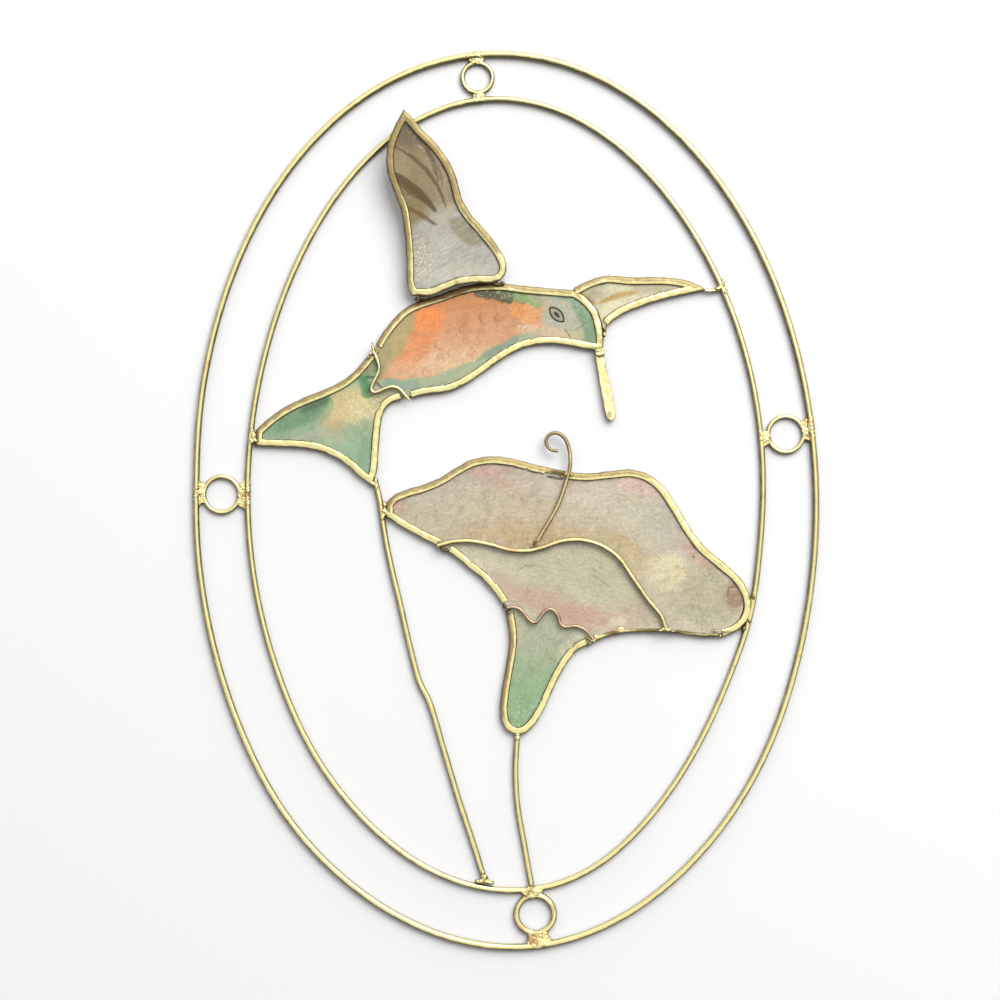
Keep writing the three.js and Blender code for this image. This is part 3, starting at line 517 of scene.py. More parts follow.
def came_rings(strokes, back_y, bites):
    """The came's section along its edge, ring by ring; a bite draws the flange back to what it keeps."""
    section = came_section()
    lines = {inset: inset_line(strokes, inset) for inset in {0, *(inset for inset, _ in section)}}
    keeps = sorted({bite[2] for bite in bites})
    lines.update({keep: inset_line(strokes, keep) for keep in keeps})
    bitten = [near_any(point, bites) for point in lines[0]]
    rings = []
    for inset, forward in section:
        ring = []
        for index, bite in enumerate(bitten):
            reach = min(inset, bite[2]) if bite and forward > CAME_DEPTH / 2 else inset
            ring.append(on_plane(lines[reach][index], back_y - forward))
        rings.append(ring)
    return lines[0], rings, section


def paint_sides(layer, row, inset, outward):
    """Notes on each vertex how far across the came it lies, and how far its side faces up and left."""
    for vertex, way in zip(row, outward):
        vertex[layer] = (inset / (sizes().came_width / MM), 0.5 + 0.5 * way, 0, 1)


def came_meshes(name, strokes, back_y, breaks=(), bites=(), seed=0):
    """Channelled came along an edge: one mesh for each length that its breaks leave."""
    edge, rings, section = came_rings(strokes, back_y, bites)
    runs, closed = kept_runs(edge, breaks)
    # The second number of each vertex's note, how far its side faces up and to the left, places the painted shade on
    # the came's shoulders
    light = Vector((-0.45, 0.89))
    outward = [-left_of(a, b).dot(light) if a != b else 0 for a, b in zip(edge, edge[1:] + edge[:1])]
    meshes = []
    for number, run in enumerate(runs):
        bm = bmesh.new()
        layer = bm.verts.layers.float_color.new("side")
        ways = [outward[index] for index in run]
        row = [bm.verts.new(rings[0][index]) for index in run]
        paint_sides(layer, row, 0, ways)
        edges = [bm.edges.new(pair) for pair in zip(row, row[1:])]
        if closed:
            edges.append(bm.edges.new((row[-1], row[0])))
        for ring, (inset, forward) in zip([*rings[1:], rings[0]], [*section[1:], section[0]]):
            row, edges = drawn_on(bm, row, edges, [ring[index] for index in run])
            paint_sides(layer, row, inset, ways)
        bmesh.ops.remove_doubles(bm, verts=bm.verts, dist=0.002 * MM)
        if not closed:
            ends = [e for e in bm.edges if e.is_boundary]
            bmesh.ops.holes_fill(bm, edges=ends, sides=0)
            bmesh.ops.triangulate(bm, faces=[f for f in bm.faces if len(f.verts) > 4])
        mesh = mesh_of(bm, f"{name}_{number}")
        dent(mesh, 0.11, 2.8, seed + number)
        dent(mesh, 0.05, 0.9, seed + number + 40)
        meshes.append(mesh)
    return meshes


def drawn_on(bm, row, edges, spots):
    """Extrudes a row of edges and sets the new row's vertices on the spots given."""
    made = bmesh.ops.extrude_edge_only(bm, edges=edges)["geom"]
    new_edges = [g for g in made if isinstance(g, bmesh.types.BMEdge)]
    new_verts = {g for g in made if isinstance(g, bmesh.types.BMVert)}
    partner = {}
    for vertex in new_verts:
        for link in vertex.link_edges:
            other = link.other_vert(vertex)
            if other not in new_verts:
                partner[other] = vertex
    new_row = [partner[vertex] for vertex in row]
    for vertex, spot in zip(new_row, spots):
        vertex.co = spot
    new_set = set(new_row)
    return new_row, [e for e in new_edges if e.verts[0] in new_set and e.verts[1] in new_set]


def pane_mesh(name, node, cell, seed):
    """The shell of a CAD node, cut into fine cells and rippled as split shell is."""
    bm = bmesh.new()
    bm.from_mesh(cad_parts[node].data)
    bmesh.ops.remove_doubles(bm, verts=bm.verts, dist=0.001 * MM)
    bmesh.ops.dissolve_limit(bm, angle_limit=math.radians(1), verts=bm.verts, edges=bm.edges)
    low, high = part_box(node)
    for axis in (0, 2):
        count = math.floor((high[axis] - low[axis]) / (cell * MM))
        for k in range(1, count + 1):
            cut = low.copy()
            cut[axis] = low[axis] + (high[axis] - low[axis]) * (k - 0.5) / count
            way = Vector((1, 0, 0)) if axis == 0 else Vector((0, 0, 1))
            bmesh.ops.bisect_plane(bm, geom=bm.verts[:] + bm.edges[:] + bm.faces[:], dist=0.001 * MM,
                                   plane_co=cut, plane_no=way)
    mesh = mesh_of(bm, name)
    height = sizes().ripple / MM
    dent(mesh, height, 9, seed, along_normal=False)
    dent(mesh, height * 0.35, 2.2, seed + 9, along_normal=False)
    return mesh


def lump_mesh(name, balls, seed):
    """Solder that ran together: balls joined, drawn smooth, pitted, and flat behind."""
    bm = bmesh.new()
    for centre, radii in balls:
        made = bmesh.ops.create_icosphere(bm, subdivisions=2, radius=1)["verts"]
        turn = Matrix.LocRotScale(centre * MM, None, Vector(radii) * MM)
        bmesh.ops.transform(bm, matrix=turn, verts=made)
    mesh = bpy.data.meshes.new(name)
    bm.to_mesh(mesh)
    bm.free()
    whole = melted(bpy.data.objects.new(name, mesh), 0.13, 16)
    dent(whole, 0.2, 1.3, seed)
    dent(whole, 0.06, 0.5, seed + 20)
    for vertex in whole.vertices:
        vertex.co.y = min(vertex.co.y, BACK_Y * MM)
    return whole


# Shader maths

class Value:
    """A socket of a node tree that can be used in arithmetic."""

    def __init__(self, finish, socket):
        self.finish = finish
        self.socket = socket

    def __add__(self, other):
        return self.finish.maths("ADD", self, other)

    def __radd__(self, other):
        return self.finish.maths("ADD", other, self)

    def __sub__(self, other):
        return self.finish.maths("SUBTRACT", self, other)

    def __rsub__(self, other):
        return self.finish.maths("SUBTRACT", other, self)

    def __mul__(self, other):
        return self.finish.maths("MULTIPLY", self, other)

    def __rmul__(self, other):
        return self.finish.maths("MULTIPLY", other, self)

    def __truediv__(self, other):
        return self.finish.maths("DIVIDE", self, other)

    def __pow__(self, other):
        return self.finish.maths("POWER", self, other)

    def __abs__(self):
        return self.finish.maths("ABSOLUTE", self)


class Finish:
    """A material and its node tree, with the nodes that the finishes here are made of."""

    def __init__(self, name):
        self.material = bpy.data.materials.new(name)
        self.material.use_nodes = True
        self.tree = self.material.node_tree
        self.tree.nodes.clear()
        self.place = self.node("ShaderNodeTexCoord", out="Object")

    def node(self, kind, settings=None, inputs=None, out=0):
        """Adds a node: its settings first, then the values or links of its sockets."""
        made = self.tree.nodes.new(kind)
        for key, value in (settings or {}).items():
            if key == "stops":
                self.set_stops(made.color_ramp, value)
            else:
                setattr(made, key, value)
        for key, value in (inputs or {}).items():
            if isinstance(value, Value):
                self.tree.links.new(value.socket, made.inputs[key])
            else:
                made.inputs[key].default_value = value
        return Value(self, made.outputs[out])

    @staticmethod
    def set_stops(ramp, stops):
        while len(ramp.elements) < len(stops):
            ramp.elements.new(0.5)
        for element, (position, colour) in zip(ramp.elements, stops):
            element.position = position
            element.color = colour

    def maths(self, operation, *values):
        return self.node("ShaderNodeMath", {"operation": operation}, dict(enumerate(values)))

    def least(self, a, b):
        return self.maths("MINIMUM", a, b)

    def most(self, a, b):
        return self.maths("MAXIMUM", a, b)

    def step(self, value, low, high, to_low=0.0, to_high=1.0):
        """Rises smoothly from to_low at low to to_high at high."""
        inputs = {"Value": value, "From Min": low, "From Max": high, "To Min": to_low, "To Max": to_high}
        return self.node("ShaderNodeMapRange", {"interpolation_type": "SMOOTHSTEP"}, inputs)

    def mix(self, a, b, share):
        """From colour a to colour b."""
        return self.node("ShaderNodeMix", {"data_type": "RGBA"}, {0: share, 6: a, 7: b}, out=2)

    def shade(self, a, b, share):
        """Colour a multiplied by colour b."""
        return self.node("ShaderNodeMix", {"data_type": "RGBA", "blend_type": "MULTIPLY"},
                         {0: share, 6: a, 7: b}, out=2)

    def noise(self, where, scale, detail=3.0, rough=0.55, out=0, distortion=0.0):
        return self.node("ShaderNodeTexNoise", None,
                         {"Vector": where, "Scale": scale, "Detail": detail, "Roughness": rough,
                          "Distortion": distortion}, out=out)

    def stretched(self, where, angle, ratio):
        """Coordinates that draw a pattern out along a direction of the cartoon."""
        return self.node("ShaderNodeMapping", {"vector_type": "TEXTURE"},
                         {"Vector": where, "Rotation": (0, -math.radians(angle), 0), "Scale": (ratio, 1, 1)})

    def cartoon(self):
        """Object coordinates in the cartoon's units."""
        middle = on_plane(place((0, 0)), 0)
        return self.node("ShaderNodeMapping", {"vector_type": "TEXTURE"},
                         {"Vector": self.place, "Location": middle,
                          "Rotation": (0, math.radians(CARTOON_LEAN), 0),
                          "Scale": (UNIT.x * MM, UNIT.x * MM, UNIT.y * MM)})

    def warped(self, where, amount, scale, detail=2.0):
        """Coordinates pushed about, so that an edge drawn on them is uneven."""
        push = self.noise(where, scale, detail, out=1)
        centred = self.node("ShaderNodeVectorMath", {"operation": "SUBTRACT"}, {0: push, 1: (0.5,) * 3})
        scaled = self.node("ShaderNodeVectorMath", {"operation": "SCALE"}, {0: centred, "Scale": amount})
        return self.node("ShaderNodeVectorMath", {"operation": "ADD"}, {0: where, 1: scaled})

    def spot(self, where, centre, radii, turn=0, soft=0.5):
        """An oval patch: 1 inside, fading to 0 over the soft share of its radius."""
        local = self.node("ShaderNodeMapping", {"vector_type": "TEXTURE"},
                          {"Vector": where, "Location": (centre[0], 0, centre[1]),
                           "Rotation": (0, -math.radians(turn), 0), "Scale": (radii[0], 1e6, radii[1])})
        far = self.node("ShaderNodeVectorMath", {"operation": "LENGTH"}, {0: local}, out="Value")
        return self.step(far, 1 + soft, 1 - soft)

    def stroke(self, where, start, end, width, bow=0.0, soft=1.0, blunt=0.0):
        """A brush stroke that swells and tapers; bow is its rise as a share of its length."""
        way = Vector(end) - Vector(start)
        length = way.length
        local = self.node("ShaderNodeMapping", {"vector_type": "TEXTURE"},
                          {"Vector": where, "Location": (start[0], 0, start[1]),
                           "Rotation": (0, -math.atan2(way.y, way.x), 0), "Scale": (length, 1, 1)})
        parts = self.node("ShaderNodeSeparateXYZ", None, {0: local}, out="X")
        along = parts
        across = Value(self, parts.socket.node.outputs["Z"])
        arch = along * (1 - along) * 4
        if bow:
            across = across - arch * (bow * length)
        body = self.most(arch, 0.0) ** 0.5 if not blunt else self.least(self.most(arch, 0.0) * blunt, 1.0)
        return self.step(abs(across) - body * (width / 2), soft / 2, -soft / 2) * self.step(arch, 0.0, 0.05)

    def surface(self, settings, bump=None, strength=0.2, distance=0.0002):
        inputs = dict(settings)
        if bump:
            inputs["Normal"] = self.node("ShaderNodeBump", None,
                                         {"Height": bump, "Strength": strength, "Distance": distance})
        skin = self.node("ShaderNodeBsdfPrincipled", None, inputs)
        self.node("ShaderNodeOutputMaterial", None, {"Surface": skin}, out=None) if False else self.output(skin)
        return self.material

    def output(self, skin):
        end = self.tree.nodes.new("ShaderNodeOutputMaterial")
        self.tree.links.new(skin.socket, end.inputs["Surface"])


# Metal

def brass_finish(name, brown=0.25, copper=0.15, rough=0.27, pits=0.3, base=None, came=None, soot_and_shade=()):
    """Worn brass: bright, with brown and coppery tarnish, specks and fine scratches, and painted shade on its sides and
    undersides and, on came, along its inner edge. came is a function of the finish that says where came is painted a
    shaded tan and made rougher beyond its shoulders that face up and left, which always are, and soot_and_shade lists
    dark spots: scorched flux, and painted shadow."""
    f = Finish(name)
    c = colours()
    wide = f.noise(f.place, 90, 3)
    patchy = f.noise(f.place, 420, 3, 0.6)
    fine = f.noise(f.place, 900, 4, 0.65)
    specks = f.noise(f.place, 2200, 3, 0.7)
    colour = f.mix(base or c.brass, c.tarnish,
                   f.step(wide * 0.4 + patchy * 0.4 + fine * 0.2, 0.6 - brown * 0.22, 0.8) * 0.85)
    reddish = f.step(f.noise(f.warped(f.place, 0.004, 150), 130, 2), 0.64 - copper * 0.3, 0.78)
    colour = f.mix(colour, c.copper, reddish * 0.75)
    colour = f.mix(colour, c.soot_and_shade, f.step(specks, 0.66 - pits * 0.1, 0.76) * 0.7)
    roughness = rough + 0.3 * fine * brown + 0.22 * reddish
    if came:
        side = f.node("ShaderNodeAttribute", {"attribute_name": "side"}, out="Color")
        across = f.node("ShaderNodeSeparateColor", None, {0: side}, out="Red")
        upward = Value(f, across.socket.node.outputs["Green"])
        ragged = across + (fine - 0.5) * 0.25 + (patchy - 0.5) * 0.5
        # Painted shade: the shoulders that face up and left are coloured a dim tan and made rougher
        shaded_heel = f.step(ragged, 0.68, 0.5) * f.step(upward + (wide - 0.5) * 0.4, 0.45, 0.78)
        matt_and_shade = f.most(shaded_heel, came(f, ragged))
        colour = f.mix(colour, c.matt_and_shade, matt_and_shade * 0.92)
        roughness = roughness + matt_and_shade * 0.2
        # Painted shadow: a dark line along the inner edge of the came's face, where it meets the shell
        colour = f.mix(colour, c.soot_and_shade, f.step(across, 0.83, 0.94) * 0.95)
    for spot, radii, turn, strength in soot_and_shade:
        # Painted shadow and scorched flux: the dark spots listed for this finish
        burnt_and_shaded = f.spot(f.warped(f.cartoon(), 3, 0.25, 3), spot, radii, turn, 0.4)
        colour = f.mix(colour, c.burnt_and_shaded, burnt_and_shaded * strength)
    # Painted shade: the grime colour darkens the brass's sides and undersides
    colour = f.mix(colour, c.soot_and_shade, shaded_sides(f, patchy) * 0.9)
    scratch = f.noise(f.stretched(f.place, 30, 7), 2400, 3, 0.6)
    return f.surface({"Base Color": colour, "Metallic": 1.0, "Roughness": roughness},
                     fine * 0.4 + scratch * 0.2 + patchy * 0.4, 0.4, 0.0002)


def shaded_sides(f, patchy):
    """Painted shade on the metal: its sides darkened, and more of them on their undersides, which face away from the
    light above and in front.
    """
    way = f.node("ShaderNodeSeparateXYZ", None, {0: f.node("ShaderNodeNewGeometry", out="Normal")}, out="Y")
    up = Value(f, way.socket.node.outputs["Z"])
    return f.step(way - up * 0.5 + (patchy - 0.5) * 0.5, -0.88, -0.46)


def shoulder_shade_alone(f, ragged):
    """Came that gets no painted shade beyond its shoulders that face up and left."""
    return 0.0


def solder_finish(name, burnt_and_shaded=0.0):
    """Brassy solder: bright lumps with scorched pits and coppery rims; burnt_and_shaded darkens it all over, as
    scorched flux and as painted shade on joints that lie in shadow.
    """
    f = Finish(name)
    c = colours()
    lumps = f.noise(f.place, 620, 4, 0.6)
    pits = f.noise(f.place, 1500, 3, 0.65)
    patches = f.noise(f.place, 260, 2)
    colour = f.mix(c.brass, c.copper, f.step(patches, 0.5, 0.7) * 0.55)
    colour = f.mix(colour, c.tarnish, f.step(lumps, 0.48, 0.7) * 0.7)
    colour = f.mix(colour, c.soot_and_shade, f.step(pits, 0.56, 0.7) * 0.85)
    if burnt_and_shaded:
        colour = f.mix(colour, c.burnt_and_shaded, f.step(lumps, 0.66, 0.56) * burnt_and_shaded)
    # Painted shade: the grime colour darkens the solder's sides and undersides
    colour = f.mix(colour, c.soot_and_shade, shaded_sides(f, lumps) * 0.9)
    return f.surface({"Base Color": colour, "Metallic": 1.0, "Roughness": 0.3 + 0.3 * lumps},
                     lumps * 0.6 + pits * 0.4, 0.5, 0.0004)


def shade_and_roughness_at_the_tip(f, ragged):
    """Painted shade on the raised wing's came, which is also made rougher: all of it towards the tip, its outer part
    lower down.
    """
    height = f.node("ShaderNodeSeparateXYZ", None, {0: f.cartoon()}, out="Z")
    uneven = f.noise(f.place, 150) * 24 - 12
    return f.most(f.step(height + uneven, 278, 300),
                  f.step(height + uneven, 226, 240) * f.step(ragged, 0.78, 0.62))


# Shell

# How far the painted colours are held down, because the light adds to them
SHELL_TONE = 0.91


def shell_finish(name, paint, fibre_angle=20, grain=0.3):
    """Pearly split shell painted on its surface: paint lays colour on cartoon coordinates."""
    f = Finish(name)
    where = f.cartoon()
    loose = f.warped(where, 9, 0.06, 3)
    colour = paint(f, where, loose)
    bent = f.warped(where, 14, 0.05, 2)
    fibres = f.noise(f.stretched(bent, fibre_angle, 7), 0.42, 4, 0.65)
    flecks = f.noise(where, 0.42, 5, 0.75)
    cloud = f.noise(bent, 0.07, 4, 0.6)
    growth = abs(f.noise(f.stretched(bent, fibre_angle + 70, 2.5), 0.055, 3, 0.6) - 0.5)
    scratch = f.step(f.noise(f.stretched(bent, fibre_angle - 50, 12), 0.5, 3, 0.6), 0.62, 0.72)
    light = SHELL_TONE * (1 + (fibres - 0.5) * grain * 1.5 + (flecks - 0.5) * grain * 2
                          + (cloud - 0.5) * grain * 0.9)
    light = light * f.step(growth, 0.0, 0.022, 1 - grain * 0.35, 1.0) + scratch * grain * 0.2
    cool = 1 + (f.noise(bent, 0.11, 3) - 0.5) * grain * 0.5
    grey = f.node("ShaderNodeCombineColor", None, {0: light, 1: light, 2: light * cool})
    colour = f.shade(colour, grey, 1.0)
    return f.surface({"Base Color": colour, "Roughness": 0.36 + flecks * 0.16, "Coat Weight": 0.2,
                      "Coat Roughness": 0.2, "Specular IOR Level": 0.4},
                     fibres * 0.4 + flecks * 0.4 + cloud * 0.2, 0.3, 0.00018)


def lay(f, colour, code, mask, strength=1.0):
    """Paint of one colour over what is there."""
    new = from_srgb(code) if isinstance(code, str) else code
    return f.mix(colour, new, mask * strength if strength != 1.0 else mask)


def dabs(f, colour, where, rows):
    """Oval dabs of colour: its code, centre, radii, turn, softness and strength."""
    for code, centre, radii, turn, soft, strength in rows:
        colour = lay(f, colour, code, f.spot(where, centre, radii, turn, soft), strength)
    return colour


def strokes_of(f, colour, where, rows, soft=3.0, blunt=3.0):
    """Strokes of colour: its code, start, end, width, bow and strength."""
    for code, start, end, width, bow, strength in rows:
        colour = lay(f, colour, code, f.stroke(where, start, end, width, bow, soft, blunt), strength)
    return colour


def paint_wing(f, where, loose):
    c = colours()
    parts = f.node("ShaderNodeSeparateXYZ", None, {0: loose}, out="X")
    height = Value(f, parts.socket.node.outputs["Z"])
    edge = height - parts * 0.59
    colour = f.mix(c.pearl, c.ochre, f.step(edge, 313, 321))
    colour = dabs(f, colour, loose, (
        ("75664E", (-94, 358), (20, 18), 40, 0.6, 0.9),
        ("8E7A52", (-98, 290), (16, 20), 0, 0.6, 0.7),
        ("AE9B74", (-104, 322), (9, 16), 0, 0.6, 0.5),
        ("B3A17C", (-62, 306), (8, 30), 14, 0.6, 0.8),
        ("C4BCAC", (-62, 270), (14, 14), 14, 0.6, 0.7),
        ("A49C80", (-40, 258), (20, 9), -38, 0.2, 0.9),
        ("DAD5C2", (-50, 217), (44, 9), 4, 0.6, 0.8),
        ("D2CDC0", (-68, 240), (20, 16), 20, 0.7, 0.6)))
    streaks = f.noise(f.stretched(where, 35, 8), 0.35, 4, 0.7)
    colour = lay(f, colour, "9E9482", f.step(streaks, 0.5, 0.68), 0.55)
    silver = f.step(f.noise(f.stretched(where, 22, 10), 0.3, 3, 0.6), 0.52, 0.7)
    colour = lay(f, colour, "E4E0D4", silver * f.step(edge, 318, 305), 0.5)
    copper = f.step(f.noise(f.stretched(where, 50, 4), 0.6, 4, 0.75), 0.47, 0.58)
    colour = lay(f, colour, "A88460", copper * f.spot(loose, (-84, 240), (12, 22), 20, 0.5), 0.6)
    sparkle = f.step(f.noise(where, 0.55, 3), 0.52, 0.6)
    colour = lay(f, colour, "F6EAD4", sparkle * f.spot(loose, (-84, 230), (12, 20), 10, 0.5), 0.9)
    pale = f.step(f.noise(f.stretched(bent_along(f, where), -58, 4), 0.5, 4, 0.7), 0.5, 0.6)
    colour = lay(f, colour, "D2C2B0", pale * f.spot(loose, (-76, 338), (7, 34), 34, 0.5), 0.75)
    brush = f.warped(where, 3, 0.2, 3)
    colour = strokes_of(f, colour, brush, (
        ("5F4E36", (-103, 366), (-66, 306), 5.0, 0.1, 0.65),
        ("5E4C34", (-80, 340), (-62, 300), 3.6, 0.1, 0.5),
        ("66522C", (-112, 342), (-58, 280), 3.8, 0.12, 0.85),
        ("5A451E", (-116, 318), (-68, 277), 8.0, 0.05, 0.9),
        ("5F4A22", (-108, 308), (-80, 288), 8.0, 0.02, 0.75),
        ("74591F", (-102, 284), (-68, 264), 4.5, 0.02, 0.85)), 2.2, 0.0)
    return lay(f, colour, "3A2A18", f.step(f.noise(where, 0.5, 2), 0.66, 0.72) * f.step(edge, 316, 330), 0.5)


def bent_along(f, where):
    """Coordinates that curl a little, for hair-fine lines."""
    return f.warped(where, 8, 0.09, 2)


def paint_body(f, where, loose):
    c = colours()
    colour = f.mix(c.peach, from_srgb("ECC49A"), f.spot(loose, (-52, 130), (58, 16), 10, 0.6))
    colour = dabs(f, colour, loose, (
        ("D9996A", (-12, 172), (50, 20), 8, 0.5, 0.8),
        ("E0AE84", (-30, 154), (44, 12), 10, 0.6, 0.6),
        ("C9986E", (14, 160), (14, 9), 0, 0.6, 0.5),
        (c.orange, (-78, 174), (17, 27), -24, 0.4, 0.95),
        ("EE9C64", (-92, 146), (18, 24), -36, 0.5, 0.85),
        ("D68F52", (-36, 190), (40, 9), 2, 0.5, 0.75),
        ("F0A45C", (26, 177), (21, 11), -20, 0.3, 0.95),
        ("EAA06C", (40, 168), (12, 9), -10, 0.4, 0.8),
        ("F0C89C", (34, 158), (20, 7), -6, 0.5, 0.85)))
    wash = f.noise(f.warped(where, 18, 0.04), 0.09, 4, 0.65)
    colour = lay(f, colour, "C98452", f.step(wash, 0.5, 0.62), 0.4)
    flecks = f.step(f.noise(where, 0.35, 3, 0.7), 0.53, 0.62)
    colour = lay(f, colour, "FBEBCB", flecks * f.spot(loose, (34, 160), (24, 10), -10, 0.4), 0.8)
    colour = lay(f, colour, "F3D9B4", flecks * f.spot(loose, (-70, 128), (40, 10), 6, 0.6), 0.5)
    colour = lay(f, colour, "C0AC76", f.spot(loose, (-116, 150), (16, 46), -30, 0.2), 0.95)
    colour = lay(f, colour, "A8A074", f.spot(loose, (-122, 130), (7, 20), -20, 0.5), 0.6)
    brush = f.warped(loose, 3, 0.2)
    colour = strokes_of(f, colour, brush, (
        (c.sage, (-142, 98), (-52, 102), 25, 0.0, 0.95),
        (c.sage, (-80, 102), (-14, 127), 19, 0.0, 0.95),
        (c.sage, (-32, 121), (48, 157), 15, 0.05, 0.95),
        ("8FA89A", (-122, 108), (-86, 104), 10, 0.0, 0.7),
        ("8DA58A", (-24, 134), (14, 152), 8, 0.0, 0.85),
        ("565636", (-32, 206), (12, 195), 19, 0.0, 0.95),
        ("6E7A50", (-10, 203), (24, 190), 12, 0.0, 0.8),
        ("93AE66", (8, 199), (38, 189), 15, 0.0, 0.95)))
    colour = lay(f, colour, "D5D6BC", flecks * f.stroke(loose, (-30, 202), (14, 196), 12, 0.0, 3, 3), 0.85)
    colour = dabs(f, colour, loose, (
        ("BABBA2", (64, 176), (27, 28), 0, 0.2, 0.95),
        ("B2BA96", (84, 147), (15, 14), 0, 0.3, 0.95),
        ("B9BFA0", (40, 196), (14, 6), 0, 0.5, 0.8),
        ("DDC09A", (50, 155), (24, 7), -8, 0.5, 0.9),
        ("CEC38F", (66, 154), (9, 6), 0, 0.6, 0.7)))
    colour = strokes_of(f, colour, brush, (
        ("92B690", (52, 202), (88, 174), 20, 0.14, 0.95),
        ("86A57E", (72, 194), (89, 128), 22, 0.12, 0.95),
        ("A5BE9C", (70, 190), (84, 172), 5, 0.1, 0.6)))
    colour = rays(f, colour, where, (50, 178), 38)
    brush = f.warped(where, 2.2, 0.35, 3)
    for start, end, bow in (((-23, 180), (-19, 166), -0.3), ((-6, 179), (-3, 168), -0.45),
                            ((-68, 152), (-62, 141), -0.4), ((-44, 166), (-40, 156), -0.35)):
        colour = lay(f, colour, "7E5734", f.stroke(brush, start, end, 1.8, bow, 2), 0.5)
    colour = lay(f, colour, "6F6A48", f.stroke(brush, (58.4, 163), (66, 151), 1.4, 0.08, 1.0), 0.75)
    colour = lay(f, colour, "6C735C", f.stroke(brush, (81, 169), (68, 161), 1.0, 0.1, 0.8), 0.7)
    return eye(f, colour, where, (51.8, 176.3))


def rays(f, colour, where, centre, reach):
    """Fine fibres that fan out around a point."""
    local = f.node("ShaderNodeMapping", {"vector_type": "TEXTURE"},
                   {"Vector": where, "Location": (centre[0], 0, centre[1])})
    parts = f.node("ShaderNodeSeparateXYZ", None, {0: local}, out="X")
    across = Value(f, parts.socket.node.outputs["Z"])
    angle = f.maths("ARCTAN2", across, parts)
    far = f.node("ShaderNodeVectorMath", {"operation": "LENGTH"},
                 {0: f.node("ShaderNodeCombineXYZ", None, {0: parts, 1: across})}, out="Value")
    fan = f.node("ShaderNodeCombineXYZ", None, {0: angle * 9, 1: far * 0.08})
    lines = f.noise(fan, 2.4, 3, 0.6)
    ring = f.step(far, 6, 12) * f.step(far, reach, reach * 0.6)
    colour = lay(f, colour, "E2DFC8", f.step(lines, 0.5, 0.62) * ring, 0.42)
    return lay(f, colour, "858B6E", f.step(lines, 0.46, 0.36) * ring, 0.35)


def eye(f, colour, where, centre):
    """An almond eye drawn with a brush: outline and dark pupil."""
    local = f.node("ShaderNodeMapping", {"vector_type": "TEXTURE"},
                   {"Vector": where, "Location": (centre[0], 0, centre[1]),
                    "Rotation": (0, math.radians(46), 0)})
    parts = f.node("ShaderNodeSeparateXYZ", None, {0: local}, out="X")
    across = Value(f, parts.socket.node.outputs["Z"])

    def almond(half_length, half_width):
        radius = (half_length ** 2 + half_width ** 2) / (2 * half_width)
        lifted = abs(across) + (radius - half_width)
        return f.maths("SQRT", parts * parts + lifted * lifted) - radius

    outline = f.step(abs(almond(9.6, 4.9)), 1.3, 0.6)
    pupil = f.step(almond(4.6, 1.9), 0.35, -0.35)
    colour = lay(f, colour, "C6BFA6", f.step(almond(9.6, 4.9), 0.5, -0.5), 0.6)
    colour = lay(f, colour, "5E5A4A", f.step(abs(almond(6.6, 3)), 0.7, 0.2), 0.6)
    return lay(f, colour, "0C0A06", f.most(outline, pupil), 0.97)


def paint_tail(f, where, loose):
    c = colours()
    colour = f.mix(from_srgb("9DB896"), from_srgb("B2BAA2"), f.spot(loose, (-214, 52), (24, 8), 5, 0.6))
    colour = dabs(f, colour, loose, (
        ("A4BA98", (-148, 60), (22, 20), 10, 0.5, 0.7),
        ("BCBC9C", (-173, 62), (16, 16), 30, 0.5, 0.8),
        ("C4B388", (-172, 74), (14, 15), 30, 0.5, 0.85),
        ("DCC88C", (-160, 86), (24, 16), 25, 0.5, 0.95),
        ("E2D49A", (-140, 82), (18, 14), 0, 0.5, 0.9),
        ("BFB98A", (-118, 94), (16, 12), 30, 0.5, 0.9),
        ("C3CC9C", (-136, 62), (6, 10), 0, 0.6, 0.6)))
    flecks = f.step(f.noise(where, 0.4, 3, 0.7), 0.5, 0.6)
    colour = lay(f, colour, "F0E8C0", flecks * f.spot(loose, (-143, 84), (24, 14), 20, 0.5), 0.8)
    brush = f.warped(where, 4, 0.15, 3)
    colour = strokes_of(f, colour, brush, (
        ("8FAE84", (-172, 90), (-238, 56), 28, 0.02, 0.7),
        (c.emerald, (-176, 90), (-232, 60), 18, 0.02, 0.6),
        ("4C6E48", (-174, 94), (-206, 78), 7, 0.03, 0.8),
        ("6C9470", (-184, 82), (-228, 60), 5, 0.0, 0.6),
        ("A9BE9C", (-186, 70), (-216, 56), 4, 0.0, 0.6),
        ("85A886", (-140, 74), (-148, 20), 12, 0.1, 0.5)), 5, 0.0)
    colour = strokes_of(f, colour, brush, (
        ("719E6C", (-144, 122), (-137, 92), 12, 0.05, 0.95),
        ("4F8F5C", (-142, 116), (-138, 98), 5, 0.05, 0.8)), 3, 3)
    return lay(f, colour, "A59F70", f.spot(loose, (-138, 128), (9, 12), -30, 0.4), 0.9)


def paint_back_wing(f, where, loose):
    colour = f.mix(from_srgb("DDD5B4"), from_srgb("C9C0A0"), f.spot(loose, (150, 204), (40, 8), -8, 0.6))
    colour = dabs(f, colour, loose, (
        ("C1B393", (86, 199), (18, 9), 20, 0.5, 0.9),
        ("EDE6C0", (112, 184), (22, 8), 32, 0.5, 0.85),
        ("EDE9BB", (112, 204), (18, 4), 8, 0.6, 0.7)))
    brush = f.warped(where, 3, 0.2, 3)
    colour = strokes_of(f, colour, brush, (
        ("C4A058", (92, 187), (134, 199), 5.5, 0.05, 0.9),
        ("B99964", (74, 198), (92, 186), 6, 0.0, 0.8)), 3, 0.0)
    streaks = f.step(f.noise(f.stretched(where, 28, 8), 0.45, 4, 0.7), 0.52, 0.7)
    return lay(f, colour, "B39A72", streaks, 0.4)


